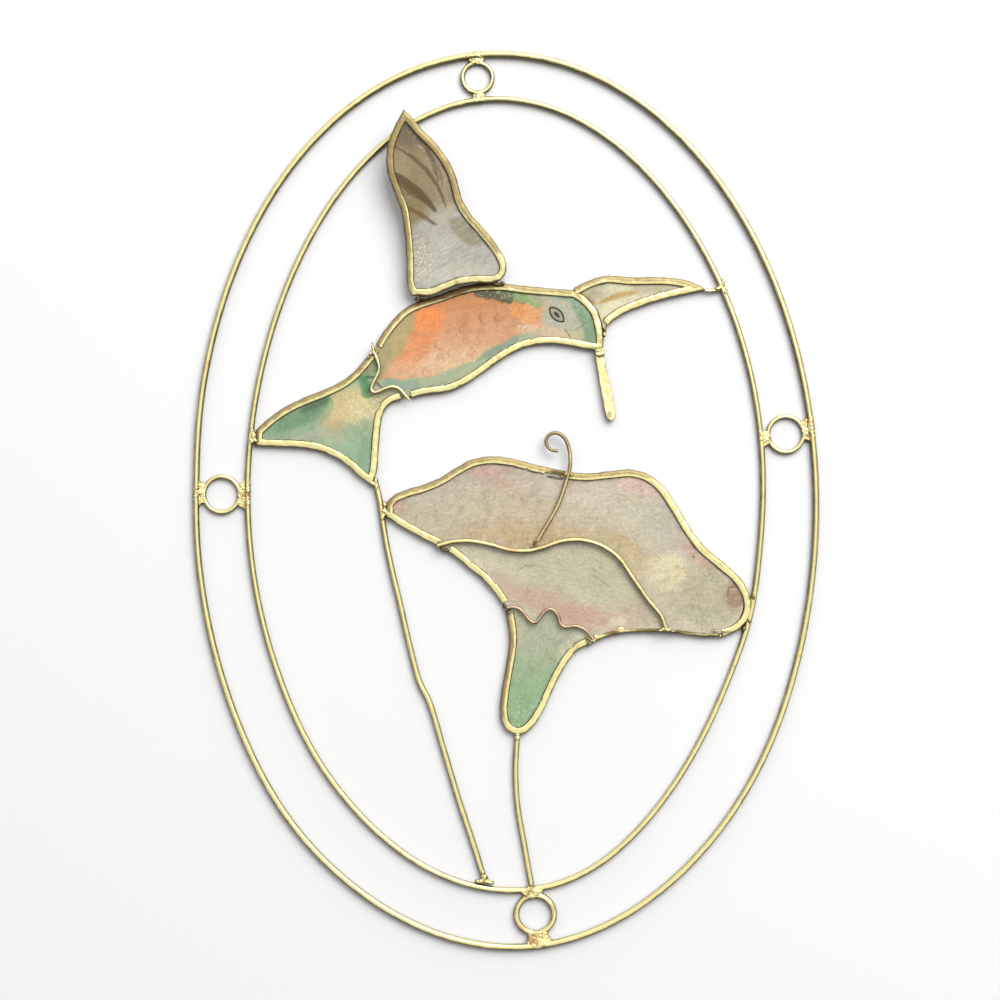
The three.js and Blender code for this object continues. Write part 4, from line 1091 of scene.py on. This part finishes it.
def paint_upper_petal(f, where, loose):
    c = colours()
    colour = f.mix(c.petal, from_srgb("C8BAA8"), f.spot(loose, (-30, 8), (70, 24), -6, 0.7))
    colour = dabs(f, colour, loose, (
        ("CABFA4", (-70, -32), (44, 20), -20, 0.6, 0.75),
        ("CEC4A2", (-20, -8), (40, 18), 10, 0.6, 0.7),
        ("C7AA78", (30, -46), (70, 15), -4, 0.7, 0.9),
        ("CEBD98", (20, -26), (50, 20), 0, 0.7, 0.6),
        ("C9B384", (118, -58), (28, 12), -40, 0.6, 0.8),
        ("D9CDB6", (90, 0), (34, 16), 0, 0.7, 0.7),
        ("C6BCAA", (166, -34), (28, 20), -50, 0.6, 0.7),
        ("C0B895", (198, -104), (34, 28), -20, 0.5, 0.9),
        ("E6DAB0", (161, -82), (21, 19), -30, 0.25, 0.75),
        ("EBDDAE", (170, -78), (12, 11), -30, 0.5, 0.6),
        ("EADFC0", (158, -72), (9, 5), 30, 0.5, 0.5),
        ("CFBA8A", (134, -80), (10, 18), -40, 0.6, 0.6),
        (c.rose, (-18, 24), (26, 9), -6, 0.7, 0.8),
        (c.rose, (-10, 12), (26, 7), -24, 0.7, 0.5),
        ("E2BFAE", (132, 8), (26, 11), -14, 0.7, 0.85),
        (c.rose, (192, -64), (20, 6), -38, 0.6, 0.8),
        (c.rose, (-110, -13), (12, 9), -20, 0.7, 0.8),
        (c.rose, (70, 6), (18, 7), 0, 0.7, 0.3),
        ("A98A6A", (231, -104), (10, 17), -10, 0.4, 0.9)))
    colour = lay(f, colour, "7A5A42", f.stroke(loose, (225, -110), (238, -98), 3, 0.5, 2), 0.7)
    colour = lay(f, colour, "2A1A18", f.spot(where, (189, -66), (1.4, 1.2), 0, 0.6), 0.85)
    brush = f.warped(where, 1.5, 0.2)
    for start, end, bow in (((-4, 2), (38, 6), -0.3), ((-6, -18), (30, -30), -0.22),
                            ((-44, -46), (-8, -24), 0.1), ((-52, -34), (-30, -8), 0.12),
                            ((96, -2), (134, -20), 0.16), ((8, 10), (44, -6), -0.35),
                            ((-30, -8), (-12, -34), 0.15), ((60, -34), (104, -30), 0.1)):
        colour = lay(f, colour, "A9926C", f.stroke(brush, start, end, 2.4, bow, 2.2), 0.28)
    # Painted shadow: a dark stroke on the shell in the slot under the torn came face
    colour = lay(f, colour, "1E1408", f.stroke(where, (41, 14.5), (58, 11), 3, 0.0, 1.5), 0.85)
    swirl = f.step(f.noise(f.warped(where, 30, 0.03), 0.16, 4, 0.7), 0.5, 0.68)
    return lay(f, colour, "E4DCC6", swirl, 0.4)


def paint_lower_petal(f, where, loose):
    c = colours()
    colour = f.mix(from_srgb("D3CCB0"), from_srgb("CBC4A6"), f.spot(loose, (84, -84), (60, 26), -16, 0.7))
    colour = dabs(f, colour, loose, (
        ("DDD6B8", (-34, -68), (26, 10), -30, 0.6, 0.7),
        (c.rose, (74, -126), (34, 11), -6, 0.7, 0.85),
        (c.rose, (32, -108), (34, 11), -12, 0.7, 0.7),
        (c.rose, (126, -126), (26, 12), 20, 0.7, 0.4),
        (c.rose, (-4, -92), (18, 9), -40, 0.7, 0.35),
        ("EFE4C2", (112, -131), (9, 5), 20, 0.5, 0.7)))
    brush = f.warped(where, 1.5, 0.2)
    for start, end, bow in (((46, -96), (56, -102), 0.3), ((10, -84), (40, -78), 0.2), ((84, -84), (104, -98), 0.1)):
        colour = lay(f, colour, "A08E6C", f.stroke(brush, start, end, 2, bow, 2), 0.45)
    return colour


def paint_calyx(f, where, loose):
    c = colours()
    parts = f.node("ShaderNodeSeparateXYZ", None, {0: loose}, out="Z")
    colour = f.mix(from_srgb("BBBDA2"), c.mint, f.step(parts, -140, -200))
    colour = dabs(f, colour, loose, (
        ("DAD3B0", (70, -152), (18, 7), 40, 0.6, 0.75),
        ("CFC59B", (8, -140), (7, 18), 10, 0.6, 0.7)))
    flecks = f.step(f.noise(where, 0.4, 3, 0.7), 0.52, 0.62)
    low = f.spot(loose, (14, -222), (22, 20), 20, 0.5)
    colour = lay(f, colour, "BBDBB0", flecks * low, 0.75)
    return lay(f, colour, "86AC80", f.step(f.noise(where, 0.25, 3), 0.5, 0.66) * low, 0.6)


# Pieces

def add_wire(name, line, diameter, y, slot="brass", finish=None, **shape):
    seed = sum(map(ord, name)) % 97
    mesh = wire_mesh(name, line, diameter, y, seed=seed, **shape)
    return finished(name + "_wire" if name.endswith("hoop") else name + "_drawn", mesh, finish, [name])


def overlay_y(diameter):
    return CAME_FRONT_Y - OVERLAY_GAP - diameter / MM / 2


def add_overlay(name, points, diameter, finish, slot, swell=None):
    line = smooth_line([place(point) for point in points], 0.35)
    return add_wire(name, line, diameter, overlay_y(diameter), slot, finish, swell=swell)


def hoops():
    steps = 720
    inner = hoop_line(INNER_HALF, INNER_LEAN, INNER_BENDS, steps, INNER_BULGES)
    inner = [p + INNER_CENTRE for p in inner]
    half, centre = outer_half_and_centre()
    outer = hoop_line(half, OUTER_LEAN, OUTER_BENDS, steps, OUTER_BULGES)
    outer = [p + centre + INNER_CENTRE for p in outer]
    return inner, outer


class SUNCATCHER_OT_hoops(Operator):
    """Bends the two hoops and closes the four rings"""
    bl_idname = "suncatcher.hoops"
    bl_label = "Hoops and rings"

    def execute(self, context):
        finish = brass_finish("hoop_brass", 0.2, 0.1)
        inner, outer = hoops()
        for name, line, wire in (("inner_hoop", inner, INNER_WIRE), ("outer_hoop", outer, OUTER_WIRE)):
            add_wire(name, line, wire * MM, BACK_Y - wire / 2, finish=finish, closed=True)
        ring_finish = brass_finish("ring_brass", 0.35, 0.3)
        for name, ring in RINGS.items():
            middle = box_middle(f"{name}_ring")
            reach = (ring["hole"] + ring["wire"]) / 2
            line = [middle + reach * Vector((math.cos(t), math.sin(t)))
                    for t in (math.tau * k / 72 for k in range(72))]
            add_wire(f"{name}_ring", line, ring["wire"] * MM, BACK_Y - ring["wire"] / 2,
                     finish=ring_finish, closed=True)
        return {"FINISHED"}


class SUNCATCHER_OT_stems(Operator):
    """Draws the two stems, and the link at the back wing's tip"""
    bl_idname = "suncatcher.stems"
    bl_label = "Stems and link"

    def execute(self, context):
        s = sizes()
        finish = brass_finish("stem_brass", 0.25, 0.15)
        for name, points, wire in (("support_stem", SUPPORT_STEM_LINE, s.support_stem),
                                   ("flower_stem", FLOWER_STEM_LINE, s.flower_stem)):
            line = smooth_line([place(point) for point in points], 0.8)
            add_wire(name, line, wire, BACK_Y - wire / MM / 2, finish=finish)
        line = smooth_line([place(point) for point in LINK_LINE], 0.3)
        add_wire("back_wing_link", line, s.link_wire, BACK_Y - CAME_DEPTH / 2, finish=finish)
        return {"FINISHED"}


class SUNCATCHER_OT_overlays(Operator):
    """Lays the petal, calyx, stamen and tail wires over the shell"""
    bl_idname = "suncatcher.overlays"
    bl_label = "Wires over the shell"

    def execute(self, context):
        s = sizes()
        bright = brass_finish("wire_brass", 0.3, 0.2)
        brown = brass_finish("petal_wire_brass", 0.55, 0.25, 0.32, base=from_srgb("DCCF98"))
        dark = brass_finish("calyx_wire_brass", 0.45, 0.2, 0.36, base=from_srgb("BDA285"))
        grey = (((51, 50), (18, 14), 0, 0.45), ((63, 20), (6, 9), 0, 0.3))
        dull = brass_finish("stamen_wire_brass", 0.6, 0.5, 0.36, base=from_srgb("D2BE8C"), soot_and_shade=grey)
        add_overlay("petal_wire", PETAL_WIRE_LINE, s.petal_wire, brown, "brass")
        add_overlay("calyx_wire", CALYX_WIRE_LINE, s.calyx_wire, dark, "tarnished_brass")
        add_overlay("stamen_wire", STAMEN_LINE, s.stamen_wire, dull, "tarnished_brass",
                    lambda share: 0.8 + 0.2 * min(1, share * 4))
        add_overlay("tail_wire", TAIL_WIRE_LINE, s.tail_wire, bright, "brass",
                    lambda share: min(1, 0.35 + 6 * share, 0.25 + 7 * (1 - share)))
        return {"FINISHED"}


def add_came(name, edge, nodes, finish, breaks=(), bites=(), seed=0, move=None, back_y=BACK_Y):
    """Came around an edge; each length takes the name and place of the CAD node it lies in."""
    strokes = placed_strokes(edge, 0.5)
    for mesh in came_meshes(name, strokes, back_y, breaks, bites, seed):
        if move:
            mesh.transform(move)
        middle = sum((v.co for v in mesh.vertices), Vector()) / len(mesh.vertices)
        node = min(nodes, key=lambda n: (sum(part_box(n), Vector()) / 2 - middle).length)
        finished(f"{node}_came", mesh, finish, [node])


def add_pane(node, paint, slot, seed, fibre_angle=20, cell=1.3, grain=0.3):
    finish = shell_finish(slot, paint, fibre_angle, grain)
    finished(node.replace("_shell", "_pane"), pane_mesh(node, node, cell, seed), finish, [node], 30)


def bar_mesh(name, edge, node):
    """A flat bar with worn edges, as deep as its CAD node."""
    low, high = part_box(node)
    outline = inset_line(placed_strokes(edge, 0.8), 0)
    bm = bmesh.new()
    back = bm.faces.new([bm.verts.new((p.x * MM, high.y, p.y * MM)) for p in outline])
    made = bmesh.ops.extrude_face_region(bm, geom=[back])["geom"]
    front = [part for part in made if isinstance(part, bmesh.types.BMVert)]
    bmesh.ops.translate(bm, vec=(0, low.y - high.y, 0), verts=front)
    return melted(bpy.data.objects.new(name, mesh_of(bm, name)), 0.14, 14)


def melted(source, voxel, rounds):
    """An object's mesh joined into one skin and drawn smooth."""
    join = source.modifiers.new("join", "REMESH")
    join.mode = "VOXEL"
    join.voxel_size = voxel * MM
    soften = source.modifiers.new("soften", "SMOOTH")
    soften.factor = 0.6
    soften.iterations = rounds
    return evaluated_mesh(source, source.name)


class SUNCATCHER_OT_bird(Operator):
    """Makes the bird's came, its shell, its back wing and its beak"""
    bl_idname = "suncatcher.bird"
    bl_label = "Bird"

    def execute(self, context):
        finish = brass_finish("bird_brass", 0.3, 0.2, came=shoulder_shade_alone, soot_and_shade=BIRD_SOOT_AND_SHADOW)
        add_came("bird", BIRD_EDGE, ["body_frame", "tail_frame"], finish, BIRD_BREAKS, BIRD_BITES, 3)
        add_pane("body_shell", paint_body, "body_capiz", 1, 15)
        add_pane("tail_shell", paint_tail, "tail_capiz", 2, 65)
        add_came("back_wing", BACK_WING_EDGE, ["back_wing_frame"], finish, BACK_WING_BREAKS, seed=5)
        add_pane("back_wing_shell", paint_back_wing, "back_wing_capiz", 3, 28, 1.0)
        bar = bar_mesh("beak_bar", BEAK_EDGE, "beak")
        dent(bar, 0.12, 4, 17)
        # Painted shade down the beak's right edge, and a dark spot near its tip
        soot_and_shade = (((101.5, 128), (1.6, 8), -8, 0.5), ((105, 76), (2.0, 3.2), 0, 0.5))
        skin = brass_finish("beak_brass", 0.0, 0.0, 0.34, pits=-0.6, soot_and_shade=soot_and_shade)
        finished("beak_bar", bar, skin, ["beak"], 60)
        return {"FINISHED"}


class SUNCATCHER_OT_flower(Operator):
    """Makes the flower's came and its three panes of shell"""
    bl_idname = "suncatcher.flower"
    bl_label = "Flower"

    def execute(self, context):
        finish = brass_finish("flower_brass", 0.35, 0.25, came=shoulder_shade_alone, soot_and_shade=FLOWER_SOOT_AND_SHADOW)
        nodes = ["petal_frame", "petal_frame_left", "petal_frame_bottom", "calyx_frame"]
        add_came("flower", FLOWER_EDGE, nodes, finish, FLOWER_BREAKS, FLOWER_BITES, 11)
        add_pane("upper_petal_shell", paint_upper_petal, "upper_petal_capiz", 4, 10, grain=0.44)
        add_pane("lower_petal_shell", paint_lower_petal, "lower_petal_capiz", 5, -20, grain=0.4)
        add_pane("calyx_shell", paint_calyx, "calyx_capiz", 6, 70, 1.0, 0.4)
        return {"FINISHED"}


class SUNCATCHER_OT_wing(Operator):
    """Makes the raised wing, tipped forward about its lower edge"""
    bl_idname = "suncatcher.wing"
    bl_label = "Raised wing"

    def execute(self, context):
        hinge = on_plane(place((-45, WING_HINGE_HEIGHT)), CAME_FRONT_Y - WING_GAP)
        tip = Matrix.Translation(hinge) @ Matrix.Rotation(math.radians(WING_TILT), 4, "X")
        tip = tip @ Matrix.Translation(Vector((-hinge.x, 0, -hinge.z)))
        finish = brass_finish("wing_brass", 0.3, 0.1, came=shade_and_roughness_at_the_tip)
        add_came("wing", WING_EDGE, ["wing_frame"], finish, seed=21, move=tip, back_y=0)
        add_pane("wing_shell", paint_wing, "wing_capiz", 7, 35)
        return {"FINISHED"}


def ring_balls(name, ring, side, hoop, wire, spread):
    """Balls of solder that web a ring to a hoop: wide along the hoop, narrow on the ring."""
    middle = box_middle(f"{name}_ring")
    turn = math.radians(ring["angle"])
    out = Vector((math.cos(turn), math.sin(turn))) * side
    touch = middle + out * (ring["hole"] / 2 + ring["wire"])
    nearest = min(range(len(hoop)), key=lambda k: (hoop[k] - touch).length)
    balls = []
    reach = spread / 2
    count = 31
    for k in range(count):
        share = -1 + 2 * k / (count - 1)
        step = round(share * reach / (hoop[1] - hoop[0]).length * 0.9)
        on_hoop = hoop[(nearest + step) % len(hoop)]
        swell = wire / 2 * (1.16 - 0.3 * share ** 2)
        y = BACK_Y - wire / 2
        balls.append((Vector((on_hoop.x, y, on_hoop.y)), (swell,) * 3))
        towards = (middle - on_hoop).normalized()
        on_ring = middle - towards * (ring["hole"] + ring["wire"]) / 2
        gap = (on_ring - on_hoop).length - wire / 2 - ring["wire"] / 2
        if gap < ring["wire"] * 2.2 and abs(share) < 0.9:
            for part in (0.15, 0.35, 0.55, 0.75, 0.95):
                at = on_hoop.lerp(on_ring, part)
                thick = 0.5 * ring["wire"] * (1.25 - 0.35 * abs(share) - 0.1 * part)
                balls.append((Vector((at.x, BACK_Y - ring["wire"] / 2 - 0.1, at.y)), (thick * 1.1, thick, thick * 1.1)))
    return balls


class SUNCATCHER_OT_ring_solder(Operator):
    """Runs solder between the rings and the hoops"""
    bl_idname = "suncatcher.ring_solder"
    bl_label = "Solder at the rings"

    def execute(self, context):
        finish = solder_finish("ring_solder")
        inner, outer = hoops()
        seed = 0
        for name, ring in RINGS.items():
            for part, side, hoop, wire, spread in (("inner", -1, inner, INNER_WIRE, ring["spread"][0]),
                                                   ("outer", 1, outer, OUTER_WIRE, ring["spread"][1])):
                seed += 1
                node = f"{name}_ring_{part}_solder"
                mesh = lump_mesh(node, ring_balls(name, ring, side, hoop, wire, spread), seed)
                finished(f"{node}_lump", mesh, finish, [node], 60)
        return {"FINISHED"}


# Lumps at the joints: a spot of the cartoon, half width and half height in millimetres
JOINT_BLOBS = {
    "tail_tip": ((-253, 61, 0.8, 1.1), (-251.5, 55, 1.0, 1.1), (-254, 49, 0.7, 1.1), (-249, 50, 0.9, 0.7)),
    "link": ((212, 202, 0.8, 0.6), (216, 203, 0.9, 0.9), (218, 208, 0.6, 1.3), (221, 199, 0.6, 1.0)),
    "flower_right": ((248.5, -107, 0.45, 1.2), (240, -138, 0.9, 0.8), (244, -131, 0.5, 1.0)),
    "stem_top": ((-132, 7, 1.0, 0.8), (-129.5, 10, 0.7, 0.8), (-128.5, 3, 0.7, 1.0)),
    "stem_foot": ((-20.5, -388, 1.0, 1.2), (-24, -391, 1.1, 0.8), (-17.5, -392, 1.1, 0.8), (-28, -391.5, 0.7, 0.5),
                  (-13, -393, 0.7, 0.5), (-22.5, -382.5, 0.8, 1.0)),
    "flower_left": ((-120.5, -15, 0.9, 1.2), (-120, -21, 1.2, 1.2), (-122.5, -27, 0.8, 1.1), (-116, -24, 0.9, 0.8)),
    "flower_stem": ((12.3, -244, 1.0, 0.6), (12.2, -248, 0.95, 0.8)),
    "stamen": ((63.5, 18, 1.0, 0.8), (60.5, 16, 0.7, 0.5), (67, 15.5, 0.7, 0.5)),
    "stamen_foot": ((29.5, -52, 0.5, 0.8), (32, -56, 1.0, 0.45), (37, -56.5, 0.7, 0.4), (26, -57.5, 0.6, 0.4)),
    "petal_wire": ((160.3, -133, 0.55, 1.0), (159, -138, 0.9, 0.5), (163, -139, 0.9, 0.5),
                   (154.5, -140, 0.8, 0.35), (168.5, -140.5, 0.8, 0.35)),
    "tail_wire": ((-132.4, 147.5, 0.18, 0.5), (-132.2, 144.5, 0.3, 0.6), (-131.7, 141.5, 0.45, 0.7),
                  (-131.3, 138.5, 0.65, 0.6), (-134.2, 136.5, 0.5, 0.5), (-136.8, 133.5, 0.45, 0.5),
                  (-128.6, 136, 0.45, 0.6), (-127, 132.5, 0.4, 0.7)),
    "beak": ((92.5, 140.5, 1.0, 0.6), (96, 140.5, 1.0, 0.6), (91, 137.5, 0.5, 0.7), (98, 137, 0.5, 0.8),
             (94.5, 136.5, 0.9, 0.8)),
    "back_wing_top": ((71, 202.5, 0.6, 0.5), (74, 200.5, 0.5, 0.6)),
    "back_wing_foot": ((100, 161, 0.5, 0.9), (99.3, 156, 0.4, 0.8)),
    "wing_left": ((-88, 191.5, 0.8, 0.5), (-83, 192.5, 0.9, 0.6), (-77, 194.5, 0.7, 0.5)),
    "wing_right": ((-8, 206.5, 1.0, 0.6), (-3, 207, 0.9, 0.6)),
    "petal_joint": ((-66.5, -54.5, 0.8, 0.5), (-62, -57, 0.9, 0.6), (-57.5, -60, 0.8, 0.5), (-61, -59.5, 0.8, 0.4)),
    "calyx_left": ((0, -115.5, 0.7, 0.7), (3.5, -118.5, 0.8, 0.6), (1.5, -120.5, 0.7, 0.5)),
    "calyx_right": ((87.5, -150, 1.2, 0.7), (82.5, -148.5, 0.8, 0.5), (93, -147.5, 1.1, 0.5),
                    (99, -145.5, 0.8, 0.45), (84.5, -153.5, 0.7, 0.5)),
    "petal_end": ((215.5, -145.5, 0.5, 0.7),),
}
# Joints whose solder is darkened: scorched flux, and painted shade where they lie under the raised wing and in the gaps
# between came pieces
BURNT_AND_SHADED_JOINTS = ("wing_left", "wing_right", "petal_joint", "calyx_left", "flower_right", "stamen_foot")


def joint_balls(joint):
    """A joint's lumps, as deep as its CAD node."""
    low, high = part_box(f"{joint}_solder")
    middle, half = (low.y + high.y) / 2 / MM, (high.y - low.y) / 2 / MM
    balls = []
    for x, z, wide, tall in JOINT_BLOBS[joint]:
        spot = place((x, z))
        depth = min(half, 1.4 * max(wide, tall))
        balls.append((Vector((spot.x, middle + (half - depth) * 0.4, spot.y)), (wide, depth, tall)))
    return balls


class SUNCATCHER_OT_joint_solder(Operator):
    """Runs solder into the other joints"""
    bl_idname = "suncatcher.joint_solder"
    bl_label = "Solder at the joints"

    def execute(self, context):
        bright, burnt_and_shaded = solder_finish("joint_solder"), solder_finish("burnt_and_shaded_solder", 0.75)
        for seed, joint in enumerate(JOINT_BLOBS, 30):
            node = f"{joint}_solder"
            finish = burnt_and_shaded if joint in BURNT_AND_SHADED_JOINTS else bright
            finished(f"{node}_lump", lump_mesh(node, joint_balls(joint), seed), finish, [node], 60)
        return {"FINISHED"}


# Stage

VIEW_WIDTH = 283.5
VIEW_MIDDLE = Vector((-1.86, -120.1))
LENS = 85
SENSOR = 36


def backdrop_finish():
    """White card that is seen from its front only, so that it hides nothing from behind."""
    f = Finish("backdrop_card")
    card = f.node("ShaderNodeBsdfDiffuse", None, {"Color": (0.93, 0.93, 0.935, 1)})
    clear = f.node("ShaderNodeBsdfTransparent")
    behind = f.node("ShaderNodeNewGeometry", out="Backfacing")
    f.output(f.node("ShaderNodeMixShader", None, {0: behind, 1: card, 2: clear}))
    return f.material


def add_backdrop(gap):
    """A sheet of card that runs down behind the piece and forward as a floor."""
    depth = BACK_Y * MM + gap
    profile = [Vector((0, depth, 0.9)), Vector((0, depth, -0.33))]
    sweep = 0.12
    for k in range(1, 13):
        turn = math.radians(90 * k / 12)
        profile.append(Vector((0, depth - sweep * (1 - math.cos(turn)), -0.33 - sweep * math.sin(turn))))
    profile.append(Vector((0, -2.4, -0.33 - sweep)))
    bm = bmesh.new()
    row = [bm.verts.new(p + Vector((-1.6, 0, 0))) for p in profile]
    edges = [bm.edges.new(pair) for pair in zip(row, row[1:])]
    drawn_on(bm, row, edges, [p + Vector((1.6, 0, 0)) for p in profile])
    mesh = bpy.data.meshes.new("backdrop")
    bmesh.ops.recalc_face_normals(bm, faces=bm.faces)
    if bm.faces[:][0].normal.y > 0:
        bmesh.ops.reverse_faces(bm, faces=bm.faces)
    bm.to_mesh(mesh)
    bm.free()
    card = bpy.data.objects.new("backdrop", mesh)
    bpy.context.scene.collection.objects.link(card)
    mesh.materials.append(backdrop_finish())
    for polygon in mesh.polygons:
        polygon.use_smooth = True
    card.visible_diffuse = card.visible_transmission = card.visible_shadow = False


def light_room(strength):
    """Bright in front of the piece, brown-grey round its sides, darkest below."""
    world = bpy.data.worlds.new("room")
    bpy.context.scene.world = world
    world.use_nodes = True
    tree = world.node_tree
    tree.nodes.clear()
    f = Finish.__new__(Finish)
    f.tree = tree
    way = f.node("ShaderNodeTexCoord", out="Generated")
    facing = f.node("ShaderNodeVectorMath", {"operation": "DOT_PRODUCT"},
                    {0: way, 1: Vector((0.12, -1, 0.95)).normalized()}, out="Value")
    up = f.node("ShaderNodeVectorMath", {"operation": "DOT_PRODUCT"},
                {0: way, 1: Vector((0.4, 0, 0.92))}, out="Value")
    side = f.mix(from_srgb("1C1810"), from_srgb("A2987E"), f.step(up, -0.5, 0.9))
    front = f.mix(side, (1.03, 1.03, 1.03, 1), f.step(facing, 0.42, 0.72))
    whole = f.mix(front, (0.8, 0.8, 0.8, 1), f.step(facing, -0.35, -0.85))
    back = tree.nodes.new("ShaderNodeBackground")
    back.inputs["Strength"].default_value = strength
    tree.links.new(whole.socket, back.inputs["Color"])
    end = tree.nodes.new("ShaderNodeOutputWorld")
    tree.links.new(back.outputs[0], end.inputs["Surface"])


def add_lamp(name, spot, aim, size, power):
    lamp = bpy.data.lights.new(name, "AREA")
    lamp.size = size
    lamp.energy = power
    light = bpy.data.objects.new(name, lamp)
    bpy.context.scene.collection.objects.link(light)
    light.location = spot
    light.rotation_euler = (aim - spot).to_track_quat("-Z", "Y").to_euler()


def add_camera(aim):
    camera_data = bpy.data.cameras.new("camera")
    camera_data.lens = LENS
    camera_data.sensor_width = SENSOR
    camera = bpy.data.objects.new("camera", camera_data)
    bpy.context.scene.collection.objects.link(camera)
    distance = VIEW_WIDTH * MM * LENS / SENSOR
    camera.location = aim + Vector((0, -distance, 0))
    camera.rotation_euler = (math.radians(90), math.radians(CARTOON_LEAN), 0)
    bpy.context.scene.camera = camera


class SUNCATCHER_OT_stage(Operator):
    """Sets the camera, the light and the white card behind the piece"""
    bl_idname = "suncatcher.stage"
    bl_label = "Stage"

    def execute(self, context):
        stage = context.scene.suncatcher_stage
        aim = on_plane(VIEW_MIDDLE, CAME_FRONT_Y)
        add_camera(aim)
        add_backdrop(stage.gap)
        light_room(stage.room)
        add_lamp("key_lamp", aim + Vector((0.55, -1.1, 0.8)), aim, 1.0, stage.key)
        context.scene.view_settings.view_transform = "Standard"
        return {"FINISHED"}


class SUNCATCHER_PT_panel(Panel):
    """Lists the steps that make the suncatcher"""
    bl_idname = "SUNCATCHER_PT_panel"
    bl_label = "Suncatcher"
    bl_space_type = "VIEW_3D"
    bl_region_type = "UI"
    bl_category = "Suncatcher"

    def draw(self, context):
        for step in STEPS:
            self.layout.operator(step.bl_idname)
        for group in (context.scene.suncatcher_sizes, context.scene.suncatcher_colours,
                      context.scene.suncatcher_stage):
            box = self.layout.box()
            for name in group.__annotations__:
                box.prop(group, name)


STEPS = (
    SUNCATCHER_OT_hoops,
    SUNCATCHER_OT_stems,
    SUNCATCHER_OT_overlays,
    SUNCATCHER_OT_bird,
    SUNCATCHER_OT_flower,
    SUNCATCHER_OT_wing,
    SUNCATCHER_OT_ring_solder,
    SUNCATCHER_OT_joint_solder,
    SUNCATCHER_OT_stage,
)
GROUPS = {
    "suncatcher_sizes": SuncatcherSizes,
    "suncatcher_colours": SuncatcherColours,
    "suncatcher_stage": StageSettings,
}


def register():
    for group in (*GROUPS.values(), *STEPS, SUNCATCHER_PT_panel):
        bpy.utils.register_class(group)
    for name, group in GROUPS.items():
        setattr(bpy.types.Scene, name, PointerProperty(type=group))


def unregister():
    for name in GROUPS:
        delattr(bpy.types.Scene, name)
    for group in reversed((*GROUPS.values(), *STEPS, SUNCATCHER_PT_panel)):
        bpy.utils.unregister_class(group)


def main():
    register()
    for step in STEPS:
        section, name = step.bl_idname.split(".")
        getattr(getattr(bpy.ops, section), name)()


if __name__ == "__main__":
    main()
